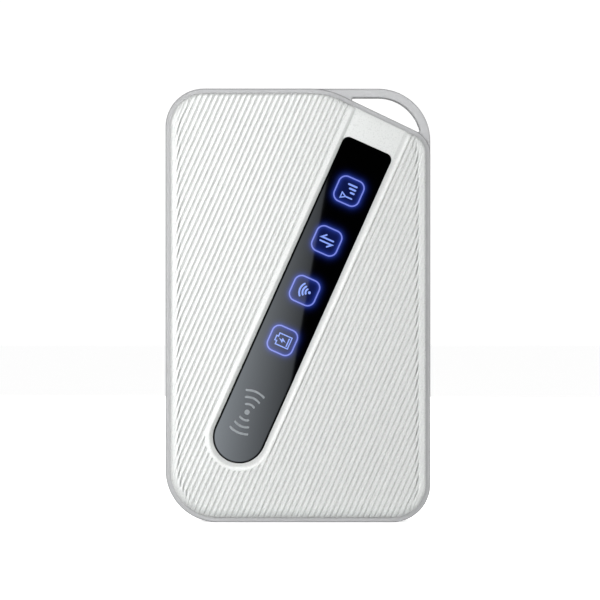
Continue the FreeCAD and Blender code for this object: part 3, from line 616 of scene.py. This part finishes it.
def stroke(path, half):
    """The outline of a line drawn with a round pen along a path."""
    left, right = [], []
    for i, (x, y) in enumerate(path):
        x0, y0 = path[max(i - 1, 0)]
        x1, y1 = path[min(i + 1, len(path) - 1)]
        before = math.atan2(y - y0, x - x0) if i else math.atan2(y1 - y, x1 - x)
        after = math.atan2(y1 - y, x1 - x) if i < len(path) - 1 else before
        bend = (after - before + math.pi) % (2 * math.pi) - math.pi
        middle = before + bend / 2 + math.pi / 2
        reach = half / math.cos(bend / 2)
        left.append((x + reach * math.cos(middle), y + reach * math.sin(middle)))
        right.append((x - reach * math.cos(middle), y - reach * math.sin(middle)))
    return capped(left, right, path, half)


def capped(left, right, path, half):
    """Joins a stroke's two sides with round ends."""
    (x0, y0), (x1, y1) = path[-2], path[-1]
    end = math.degrees(math.atan2(y1 - y0, x1 - x0))
    (x0, y0), (x1, y1) = path[1], path[0]
    start = math.degrees(math.atan2(y1 - y0, x1 - x0))
    far = arc_points(*path[-1], half, end - 90, end + 90, 6)[1:-1]
    near = arc_points(*path[0], half, start - 90, start + 90, 6)[1:-1]
    return right + far + left[::-1] + near


def closed_stroke(path, half):
    """The two outlines of a line drawn round a closed clockwise path with square corners."""
    loops = []
    for side in (half, -half):
        loop = []
        for i, (x, y) in enumerate(path):
            x0, y0 = path[i - 1]
            x1, y1 = path[(i + 1) % len(path)]
            before = math.atan2(y - y0, x - x0)
            after = math.atan2(y1 - y, x1 - x)
            bend = (after - before + math.pi) % (2 * math.pi) - math.pi
            middle = before + bend / 2 + math.pi / 2
            reach = side / math.cos(bend / 2)
            loop.append((x + reach * math.cos(middle), y + reach * math.sin(middle)))
        loops.append(loop)
    return loops


def add_plate(solid, *loops):
    """A thin raised plate with the first loop as its edge and the others as holes."""
    tops = [solid.put(loop, SYMBOL_HIGH) for loop in loops]
    backs = [solid.wall(top, SYMBOL_LOW) for top in tops]
    solid.fill(*tops)
    solid.fill(*backs)


def add_symbol(solid, icon, *loops):
    """A plate drawn on a symbol's own axes."""
    add_plate(solid, *[[symbol_point(icon, x, y) for x, y in loop] for loop in loops])


def symbol_frame(solid, icon):
    """The rounded square round a symbol."""
    half = FRAME_STROKE
    outer = rounded_box(BOX_HALF + half, BOX_HALF + half, BOX_CORNER + half)
    inner = rounded_box(BOX_HALF - half, BOX_HALF - half, BOX_CORNER - half)
    add_symbol(solid, icon, outer, inner)


def signal_symbol(solid, icon):
    """A mast and three bars, which rise to the right."""
    base, mast = -1.3, -1.45
    funnel = [(mast - 0.65, 1.3), (mast + 0.65, 1.3), (mast, 0.2)]
    add_symbol(solid, icon, stroke([(mast, base), (mast, 0.0)], 0.17))
    add_symbol(solid, icon, *closed_stroke(funnel, 0.14))
    for i, height in enumerate((0.75, 1.35, 1.95)):
        across = -0.2 + 0.85 * i
        add_symbol(solid, icon, stroke([(across, base), (across, base + height)], 0.221))


def data_symbol(solid, icon):
    """Two arrows with half heads, one each way."""
    for turn in (1, -1):
        path = [(0.45, -1.45), (0.45, 1.45), (1.25, 0.55)]
        add_symbol(solid, icon, stroke([(x * turn, y * turn) for x, y in path], 0.19))


def wireless_symbol(solid, icon):
    """A dot below three arcs."""
    dot = -1.2
    add_symbol(solid, icon, round_dot(0.34, 16, dot))
    for radius in (0.88, 1.59, 2.34):
        add_symbol(solid, icon, stroke(arc_points(0, dot, radius, 50, 130, 14), 0.21))


def battery_symbol(solid, icon):
    """A battery outline with a bolt in it and a bar at its foot."""
    side, neck, top, shoulder, foot = 1.35, 0.55, 1.65, 1.2, -1.85
    shell = [(-neck, shoulder), (-neck, top), (neck, top), (neck, shoulder), (side, shoulder)]
    shell += [(side, foot), (-side, foot), (-side, shoulder)]
    add_symbol(solid, icon, *closed_stroke(shell, 0.14))
    bolt = [(0.25, 0.95), (-0.6, -0.15), (-0.08, -0.15), (-0.25, -0.95), (0.6, 0.15), (0.08, 0.15)]
    add_symbol(solid, icon, bolt)
    add_symbol(solid, icon, [(-1.0, -1.5), (1.0, -1.5), (1.0, -1.2), (-1.0, -1.2)])


def lit_symbols():
    """The four lit symbols and the frames round them, each as an object and its kind."""
    drawn = (battery_symbol, wireless_symbol, data_symbol, signal_symbol)
    made = []
    for icon, draw in zip(ICONS, drawn):
        name = draw.__name__
        frame_solid, solid = Solid(), Solid()
        symbol_frame(frame_solid, icon)
        draw(solid, icon)
        made.append((frame_solid.object(name + "_frame"), "line"))
        made.append((solid.object(name), "glyph"))
    return made


def broadcast_mark():
    """A plain printed mark near the foot of the strip: a dot with waves on both sides."""
    solid = Solid()
    centre_u, centre_v = -27.2, -0.7
    loops = [round_dot(0.62, 24)]
    for side in (0, 180):
        for radius in (1.9, 3.5, 5.1):
            spread = 36 - radius * 2.2
            loops.append(stroke(arc_points(0, 0, radius, side - spread, side + spread, 14), 0.25))
    for loop in loops:
        add_plate(solid, [strip_to_body(centre_v - y, centre_u + x) for x, y in loop])
    return solid.object("broadcast_mark")


# ---------------------------------------------------------------- materials


class Paint:
    """A material's nodes, with short calls for what the looks need. Places are in millimetres."""

    def __init__(self, name, colour, roughness, metallic=0.0, level=0.5):
        self.material = bpy.data.materials.new(name)
        self.material.use_nodes = True
        self.tree = self.material.node_tree
        self.shader = self.tree.nodes["Principled BSDF"]
        self.shader.inputs["Base Color"].default_value = (*colour, 1)
        self.shader.inputs["Roughness"].default_value = roughness
        self.shader.inputs["Metallic"].default_value = metallic
        self.shader.inputs["Specular IOR Level"].default_value = level
        self.colour = colour
        texture = self.tree.nodes.new("ShaderNodeTexCoord")
        self.normal = texture.outputs["Normal"]
        self.place = self.vector("MULTIPLY", texture.outputs["Object"], (1 / MM,) * 3)

    def put(self, value, socket):
        """Sets a socket to a number, a colour or another node's output."""
        if isinstance(value, bpy.types.NodeSocket):
            self.tree.links.new(value, socket)
        else:
            socket.default_value = value

    def math(self, operation, *values):
        """A sum on numbers."""
        node = self.tree.nodes.new("ShaderNodeMath")
        node.operation = operation
        for value, socket in zip(values, node.inputs):
            self.put(value, socket)
        return node.outputs[0]

    def length(self, x, y):
        """The length of the step x, y."""
        square = self.math("ADD", self.math("POWER", x, 2.0), self.math("POWER", y, 2.0))
        return self.math("SQRT", square)

    def vector(self, operation, *values):
        """A sum on vectors."""
        node = self.tree.nodes.new("ShaderNodeVectorMath")
        node.operation = operation
        for value, socket in zip(values, node.inputs):
            self.put(value, socket)
        return node.outputs["Vector"]

    def axes(self, vector=None):
        """x, y and z of a vector, which is the place unless another is given."""
        node = self.tree.nodes.new("ShaderNodeSeparateXYZ")
        self.put(self.place if vector is None else vector, node.inputs[0])
        return node.outputs[:]

    def noise(self, size, detail=2.0, stretch=(1, 1, 1)):
        """Soft noise of about that size, from 0 to 1."""
        node = self.tree.nodes.new("ShaderNodeTexNoise")
        scale = tuple(1 / (size * s) for s in stretch)
        self.put(self.vector("MULTIPLY", self.place, scale), node.inputs["Vector"])
        node.inputs["Scale"].default_value = 1.0
        node.inputs["Detail"].default_value = detail
        return node.outputs["Fac"]

    def cells(self, size):
        """Distance from the middle of the nearest cell, for cells of about that size."""
        node = self.tree.nodes.new("ShaderNodeTexVoronoi")
        self.put(self.vector("MULTIPLY", self.place, (1 / size,) * 3), node.inputs["Vector"])
        node.inputs["Scale"].default_value = 1.0
        return node.outputs["Distance"]

    def step(self, value, low, high, to_low=0.0, to_high=1.0):
        """A smooth change of a value from one range to another."""
        node = self.tree.nodes.new("ShaderNodeMapRange")
        node.interpolation_type = "SMOOTHSTEP"
        for number, socket in zip((value, low, high, to_low, to_high), node.inputs):
            self.put(number, socket)
        return node.outputs[0]

    def mix(self, factor, one, two):
        """A colour between two."""
        node = self.tree.nodes.new("ShaderNodeMix")
        node.data_type = "RGBA"
        sockets = [s for s in node.inputs if s.enabled]
        self.put(factor, sockets[0])
        for value, socket in zip((one, two), sockets[1:]):
            self.put((*value, 1) if isinstance(value, tuple) else value, socket)
        return [s for s in node.outputs if s.enabled][0]

    def tint(self, factor, other):
        """Mixes another colour into the base colour."""
        base = self.shader.inputs["Base Color"]
        one = base.links[0].from_socket if base.links else self.colour
        self.put(self.mix(factor, one, other), base)

    def vary(self, socket, factor, low, high):
        """Lets a factor from 0 to 1 drive one of the shader's numbers."""
        self.put(self.step(factor, 0.25, 0.75, low, high), self.shader.inputs[socket])

    def glow(self, light, strength=1.0):
        """Gives the surface its own light."""
        self.put(light, self.shader.inputs["Emission Color"])
        self.put(strength, self.shader.inputs["Emission Strength"])

    def bump(self, height, depth):
        """Raises the surface by a height from 0 to 1, times a depth in millimetres."""
        node = self.tree.nodes.new("ShaderNodeBump")
        node.inputs["Strength"].default_value = 1.0
        node.inputs["Distance"].default_value = depth * MM
        self.put(height, node.inputs["Height"])
        normal = self.shader.inputs["Normal"]
        if normal.links:
            self.put(normal.links[0].from_socket, node.inputs["Normal"])
        self.put(node.outputs["Normal"], normal)


def moulded(name, colour, roughness, grain=0.18, depth=0.006, level=0.5):
    """Moulded plastic with a fine spark-eroded grain."""
    paint = Paint(name, colour, roughness, level=level)
    darker = tuple(c * 0.96 for c in colour)
    paint.tint(paint.step(paint.noise(grain, 2.0), 0.4, 0.7), darker)
    paint.vary("Roughness", paint.noise(grain * 2.0, 2.0), roughness - 0.03, roughness + 0.03)
    paint.bump(paint.noise(grain, 2.0), depth)
    return paint


def cover_white():
    """White plastic of both covers, fairly glossy."""
    return moulded("cover_white", (0.675, 0.69, 0.68), 0.29, 0.16, 0.0004, 0.85).material


def frame_grey():
    """Grey satin plastic, with painted shade where it turns away from the front."""
    paint = moulded("frame_grey", (0.5, 0.504, 0.513), 0.55, 0.2, 0.003, 0.3)
    _, facing, _ = paint.axes(paint.vector("ABSOLUTE", paint.normal))
    # painted shade: the base colour goes to dark grey on the sides and edge roundings, which face
    # away from the front
    paint.tint(paint.step(facing, 0.4, 0.85, 1.0, 0.0), (0.29, 0.29, 0.3))
    return paint.material


def key_grey():
    """Satin plastic of the side keys."""
    return moulded("key_grey", (0.5, 0.5, 0.525), 0.4, 0.2, 0.005).material


def chassis_grey():
    """Coarse dark plastic of the rear chassis."""
    return moulded("chassis_grey", (0.05, 0.05, 0.053), 0.5, 0.3, 0.012).material


def inner_black():
    """Matt black plastic of the light baffle, switches, connector and socket tongue."""
    return moulded("inner_black", (0.012, 0.012, 0.013), 0.55, 0.25, 0.01).material


def nub_plastic():
    """Beige plastic of the switches' plungers and the reset button."""
    return moulded("nub_plastic", (0.52, 0.47, 0.38), 0.45, 0.2, 0.006).material


def chip_black():
    """Black chip resin with pale specks of filler."""
    paint = moulded("chip_black", (0.018, 0.018, 0.02), 0.6, 0.12, 0.01)
    paint.tint(paint.step(paint.cells(0.35), 0.0, 0.25, 0.25, 0.0), (0.06, 0.06, 0.06))
    return paint.material


def adhesive():
    """Black foam tape."""
    paint = Paint("adhesive", (0.02, 0.02, 0.021), 0.75)
    paint.bump(paint.noise(0.5, 3.0), 0.02)
    return paint.material


def strip_axes(paint):
    """Across and along the display strip."""
    x, _, z = paint.axes()
    y = paint.math("SUBTRACT", z, HALF_LENGTH)
    c, s = math.cos(STRIP_TILT), math.sin(STRIP_TILT)
    v = paint.math("SUBTRACT", paint.math("MULTIPLY", x, c), paint.math("MULTIPLY", y, s))
    u = paint.math("ADD", paint.math("MULTIPLY", x, s), paint.math("MULTIPLY", y, c))
    return v, u


def box_distance(paint, v, u):
    """Distance from the nearest symbol's rounded square, below 0 inside it."""
    number = paint.math("DIVIDE", paint.math("SUBTRACT", u, ICONS[0]), ICON_PITCH)
    number = paint.math("MINIMUM", paint.math("ROUND", number), len(ICONS) - 1)
    number = paint.math("MAXIMUM", number, 0.0)
    centre = paint.math("ADD", paint.math("MULTIPLY", number, ICON_PITCH), ICONS[0])
    flat = BOX_HALF - BOX_CORNER
    across = paint.math("SUBTRACT", paint.math("ABSOLUTE", v), flat)
    along = paint.math("SUBTRACT", paint.math("ABSOLUTE", paint.math("SUBTRACT", u, centre)), flat)
    outside = paint.length(paint.math("MAXIMUM", across, 0.0), paint.math("MAXIMUM", along, 0.0))
    inside = paint.math("MINIMUM", paint.math("MAXIMUM", across, along), 0.0)
    return paint.math("SUBTRACT", paint.math("ADD", outside, inside), BOX_CORNER)


BORDER_INSIDE = 5.6
BORDER_END = 39.78
BORDER_LOW = STRIP_LOW - 0.1
BORDER_BLEND = 0.08
GLOW_FALL = -2.6
HALO_BLUE = (0.03, 0.06, 0.42)
FILL_BLUE = (0.004, 0.008, 0.06)
LENS_FACE = LENS_LOW.y / MM


def border_mask(paint, v, u):
    """1 on the border printed round the window and 0 inside it."""
    sides = paint.step(paint.math("ABSOLUTE", v), BORDER_INSIDE, BORDER_INSIDE + BORDER_BLEND)
    top = paint.step(u, BORDER_END, BORDER_END + BORDER_BLEND)
    below = paint.math("MINIMUM", paint.math("SUBTRACT", u, BORDER_LOW), 0.0)
    foot = paint.step(paint.length(v, below), BORDER_INSIDE, BORDER_INSIDE + BORDER_BLEND)
    return paint.math("MAXIMUM", paint.math("MAXIMUM", sides, top), foot)


def window_black():
    """Glossy tinted window: a blue glow round each lit symbol and a matt printed border."""
    paint = Paint("window_black", (0.0002, 0.0002, 0.00025), 0.03)
    paint.shader.inputs["Specular Tint"].default_value = (0.92, 1.0, 1.08, 1)
    v, u = strip_axes(paint)
    distance = box_distance(paint, v, u)
    away = paint.math("ABSOLUTE", distance)
    glow = paint.math("EXPONENT", paint.math("MULTIPLY", away, GLOW_FALL))
    inner = paint.step(distance, -0.5, 0.1, 1.0, 0.0)
    halo = paint.mix(glow, (0.0, 0.0, 0.0), HALO_BLUE)
    fill = paint.mix(inner, (0.0, 0.0, 0.0), FILL_BLUE)
    total = paint.vector("ADD", halo, fill)
    _, depth, _ = paint.axes()
    front = paint.step(depth, LENS_FACE + 0.02, LENS_FACE + 0.06, 1.0, 0.0)
    paint.glow(paint.vector("MULTIPLY", total, front))
    border = border_mask(paint, v, u)
    paint.put(paint.step(border, 0.0, 1.0, 0.5, 0.04), paint.shader.inputs["Specular IOR Level"])
    return paint.material


def lit(name, colour):
    """A printed symbol lit from behind, a little dimmer at its edges."""
    paint = Paint(name, tuple(c * 0.02 for c in colour), 0.05)
    v, u = strip_axes(paint)
    spread = paint.step(box_distance(paint, v, u), -3.0, 0.0, 1.0, 0.86)
    paint.glow(paint.vector("MULTIPLY", spread, colour))
    return paint.material


def print_grey():
    """Faint grey ink of the mark printed behind the window."""
    paint = Paint("print_grey", (0.185, 0.205, 0.22), 0.3)
    paint.tint(paint.step(paint.noise(0.5, 2.0), 0.4, 0.7, 0.0, 0.5), (0.16, 0.177, 0.19))
    return paint.material


def film_print():
    """Dark blue ink of the icon film."""
    paint = Paint("film_print", (0.008, 0.01, 0.03), 0.3)
    paint.tint(paint.step(paint.noise(3.0), 0.4, 0.6), (0.01, 0.014, 0.05))
    return paint.material


def board_green():
    """Solder mask over copper traces, with small vias."""
    paint = Paint("board_green", (0.005, 0.06, 0.03), 0.28)
    x, _, _ = paint.axes()
    sway = paint.math("MULTIPLY", paint.noise(7.0, 1.0), 5.0)
    across = paint.math("ADD", x, sway)
    traces = paint.math("PINGPONG", across, 0.42)
    lines = paint.step(traces, 0.16, 0.2)
    zones = paint.step(paint.noise(9.0, 0.0), 0.48, 0.5)
    paint.tint(paint.math("MULTIPLY", lines, zones), (0.012, 0.115, 0.055))
    dots = paint.cells(1.9)
    vias = paint.step(dots, 0.1, 0.13, 1.0, 0.0)
    paint.tint(vias, (0.42, 0.36, 0.2))
    paint.bump(paint.math("MULTIPLY", lines, zones), 0.03)
    paint.bump(vias, 0.03)
    return paint.material


def metal(name, colour, roughness, size, stretch, depth):
    """Sheet metal with a drawn grain."""
    paint = Paint(name, colour, roughness, metallic=1.0)
    grain = paint.noise(size, 3.0, stretch)
    paint.vary("Roughness", grain, roughness - 0.07, roughness + 0.1)
    paint.tint(paint.step(paint.noise(4.0, 3.0), 0.35, 0.75), tuple(c * 0.82 for c in colour))
    paint.bump(grain, depth)
    return paint


def shield_steel():
    """Drawn sheet of the shields over the chips."""
    return metal("shield_steel", (0.6, 0.6, 0.61), 0.34, 0.12, (1, 1, 30), 0.003).material


def socket_steel():
    """Bright sheet of the charging socket and the card holders."""
    return metal("socket_steel", (0.5, 0.5, 0.52), 0.26, 0.1, (1, 1, 14), 0.002).material


def screw_steel():
    """Dark steel of the screws."""
    return metal("screw_steel", (0.33, 0.33, 0.345), 0.33, 0.1, (1, 1, 1), 0.004).material


def contact_gold():
    """Gold plating of the antennas and the battery contacts."""
    return metal("contact_gold", (0.78, 0.5, 0.17), 0.22, 0.15, (1, 1, 6), 0.002).material


def led_white():
    """Clear resin over yellow phosphor."""
    paint = Paint("led_white", (0.8, 0.78, 0.62), 0.2)
    paint.tint(paint.step(paint.cells(0.8), 0.1, 0.5, 0.7, 0.0), (0.95, 0.8, 0.2))
    paint.shader.inputs["Coat Weight"].default_value = 0.6
    return paint.material


def card_white():
    """Smooth white plastic of the SIM card."""
    return moulded("card_white", (0.74, 0.74, 0.71), 0.3, 0.4, 0.003).material


def card_black():
    """Smooth black plastic of the memory card."""
    return moulded("card_black", (0.016, 0.016, 0.018), 0.34, 0.3, 0.004).material


def cell_black():
    """Shrink wrap with a faint crinkle."""
    paint = Paint("cell_black", (0.016, 0.016, 0.018), 0.3)
    wrinkle = paint.noise(2.6, 4.0, (2, 1, 1))
    paint.vary("Roughness", wrinkle, 0.24, 0.42)
    paint.bump(wrinkle, 0.05)
    return paint.material


def label_paper():
    """Blank label paper with fibres."""
    paint = Paint("label_paper", (0.68, 0.675, 0.65), 0.6)
    paint.tint(paint.step(paint.noise(0.6, 4.0, (1, 1, 4)), 0.4, 0.7), (0.6, 0.595, 0.57))
    paint.bump(paint.noise(0.25, 3.0), 0.008)
    return paint.material


# ---------------------------------------------------------------- stage


def stage_plane(name, corners):
    """A flat sheet that isn't part of the object."""
    mesh = bpy.data.meshes.new(name)
    mesh.from_pydata(corners, [], [tuple(range(len(corners)))])
    sheet = bpy.data.objects.new(name, mesh)
    bpy.context.scene.collection.objects.link(sheet)
    return sheet


FLOOR_HALF = 3.0
FLOOR_GLOW = 0.7


def floor():
    """A pale floor that the part stands on, which looks white to the camera."""
    low, high = -FLOOR_HALF, FLOOR_HALF
    sheet = stage_plane("floor", [(low, low, 0), (high, low, 0), (high, high, 0), (low, high, 0)])
    paint = Paint("floor_white", (0.85, 0.85, 0.85), 0.7, level=0.1)
    path = paint.tree.nodes.new("ShaderNodeLightPath")
    paint.tint(paint.step(paint.noise(60.0), 0.4, 0.6, 0.0, 0.4), (0.83, 0.83, 0.83))
    seen = paint.math("MULTIPLY", path.outputs["Is Camera Ray"], FLOOR_GLOW)
    paint.glow((1, 1, 1, 1), seen)
    sheet.data.materials.append(paint.material)


CAMERA_DISTANCE = 0.773
CAMERA_ACROSS = 0.00047
CAMERA_UP = 0.05125

# the window's mirror image of a softbox has a slanting edge through these two places
GLARE_TOP = Vector((0.00669, 0.079))
GLARE_FOOT = Vector((-0.00169, 0.03185))
CARD_Y = -0.15
CARD_OVERRUN = 0.15
CARD_EDGE_LIGHT = 1.1
CARD_RISE = 0.2
CARD_CURVE = 0.004
CARD_BRIGHTEST = 9.0
GLOW_REACH = 0.055
DARK_REACH = -0.3


def in_mirror(place):
    """Where the ray that the window mirrors from the camera at a place meets the card."""
    to_window = CAMERA_DISTANCE + LENS_LOW.y
    grow = 1 + (LENS_LOW.y - CARD_Y) / to_window
    centre = Vector((CAMERA_ACROSS, CAMERA_UP))
    return centre + (place - centre) * grow


def card_light(foot, away):
    """A paint that gets brighter with the distance from the card's slanting edge."""
    paint = Paint("card_glow", (0, 0, 0), 1.0, level=0.0)
    x, _, z = paint.axes()
    across, up = paint.math("MULTIPLY", x, away.x), paint.math("MULTIPLY", z, away.y)
    distance = paint.math("SUBTRACT", paint.math("ADD", across, up), foot.dot(away) / MM)
    rise = paint.math("ADD", paint.math("MULTIPLY", distance, CARD_CURVE), CARD_RISE)
    light = paint.math("ADD", paint.math("MULTIPLY", distance, rise), CARD_EDGE_LIGHT)
    light = paint.math("MINIMUM", light, CARD_BRIGHTEST)
    paint.glow(paint.vector("MULTIPLY", light, (1, 1, 1)))
    return paint


def glow_cards():
    """Two cards seen only in gloss: a bright one left of a slanting edge, a dark one right."""
    top, foot = in_mirror(GLARE_TOP), in_mirror(GLARE_FOOT)
    along = (top - foot).normalized()
    away = Vector((-along.y, along.x))
    ends = [foot - along * CARD_OVERRUN, top + along * CARD_OVERRUN]
    bright = card_light(foot, away)
    dark = Paint("card_dark", (0, 0, 0), 1.0, level=0.0)
    for name, reach, paint in (("glow_card", GLOW_REACH, bright), ("dark_card", DARK_REACH, dark)):
        path = ends + [end + away * reach for end in ends[::-1]]
        sheet = stage_plane(name, [(x, CARD_Y, z) for x, z in path])
        sheet.data.materials.append(paint.material)
        sheet.visible_camera = False
        sheet.visible_diffuse = False
        sheet.visible_shadow = False


def area_light(name, place, size, power):
    """A soft box that points at the part's middle, unseen by the camera."""
    light = bpy.data.lights.new(name, "AREA")
    light.shape = "SQUARE"
    light.size = size
    light.energy = power
    made = bpy.data.objects.new(name, light)
    made.location = place
    aim = Vector((0, 0, 0.05)) - Vector(place)
    made.rotation_euler = aim.to_track_quat("-Z", "Y").to_euler()
    made.visible_camera = False
    bpy.context.scene.collection.objects.link(made)


WORLD_FRONT = 0.86
WORLD_BACK = 0.2
WORLD_SEEN = 1.05


def world():
    """White to the camera, and soft light to the rest that is stronger in front than behind."""
    made = bpy.data.worlds.new("studio")
    bpy.context.scene.world = made
    made.use_nodes = True
    tree = made.node_tree
    background = tree.nodes["Background"]
    direction = tree.nodes.new("ShaderNodeTexCoord")
    axes = tree.nodes.new("ShaderNodeSeparateXYZ")
    tree.links.new(direction.outputs["Generated"], axes.inputs[0])
    soft = tree.nodes.new("ShaderNodeMapRange")
    for socket, value in zip(list(soft.inputs)[1:], (-1.0, 0.0, WORLD_FRONT, WORLD_BACK)):
        socket.default_value = value
    tree.links.new(axes.outputs[1], soft.inputs[0])
    path = tree.nodes.new("ShaderNodeLightPath")
    mix = tree.nodes.new("ShaderNodeMapRange")
    tree.links.new(soft.outputs[0], mix.inputs["To Min"])
    mix.inputs["To Max"].default_value = WORLD_SEEN
    tree.links.new(path.outputs["Is Camera Ray"], mix.inputs["Value"])
    tree.links.new(mix.outputs[0], background.inputs["Strength"])
    background.inputs["Color"].default_value = (1, 1, 1, 1)


def lights():
    """A key light close by on the left, a fill on the right and one behind."""
    area_light("key", (-0.18, -0.22, 0.09), 0.15, 0.38)
    area_light("fill", (0.85, -0.6, 0.03), 0.6, 6.6)
    area_light("back", (0.1, 0.9, 0.3), 0.6, 5.0)


def camera():
    """A long lens straight in front."""
    made = bpy.data.cameras.new("camera")
    made.lens = 200
    made.sensor_width = 36
    made.clip_end = 20
    holder = bpy.data.objects.new("camera", made)
    holder.location = (CAMERA_ACROSS, -CAMERA_DISTANCE, CAMERA_UP)
    holder.rotation_euler = (math.pi / 2, 0, 0)
    bpy.context.scene.collection.objects.link(holder)
    bpy.context.scene.camera = holder
    bpy.context.scene.view_settings.view_transform = "Standard"


# ---------------------------------------------------------------- the whole scene

FINISHES = (cover_white, frame_grey, key_grey, chassis_grey, inner_black, nub_plastic,
            chip_black, adhesive, window_black, film_print, board_green, shield_steel,
            socket_steel, screw_steel, contact_gold, led_white, card_white, card_black,
            cell_black, label_paper)


def dress(piece, material):
    """Gives a piece its material."""
    piece.data.materials.clear()
    piece.data.materials.append(material)


def build():
    """Dresses the CAD nodes and adds the pieces that only the looks need."""
    paints = {finish.__name__: finish() for finish in FINISHES}
    for part in frame["record"]["subparts"]:
        dress(frame["nodes"][part["node"]], paints[part["material_slot"]])
    cover = front_cover()
    dress(cover, paints["cover_white"])
    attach(cover, "housing")
    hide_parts("front_cover")
    symbol_paints = {"line": lit("symbol_line", (0.23, 0.29, 0.88)),
                     "glyph": lit("symbol_glyph", (0.27, 0.4, 1.0))}
    for piece, kind in lit_symbols():
        dress(piece, symbol_paints[kind])
        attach(piece, "housing")
    mark = broadcast_mark()
    dress(mark, print_grey())
    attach(mark, "housing")


def main():
    """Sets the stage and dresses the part."""
    camera()
    world()
    lights()
    floor()
    glow_cards()
    build()


main()
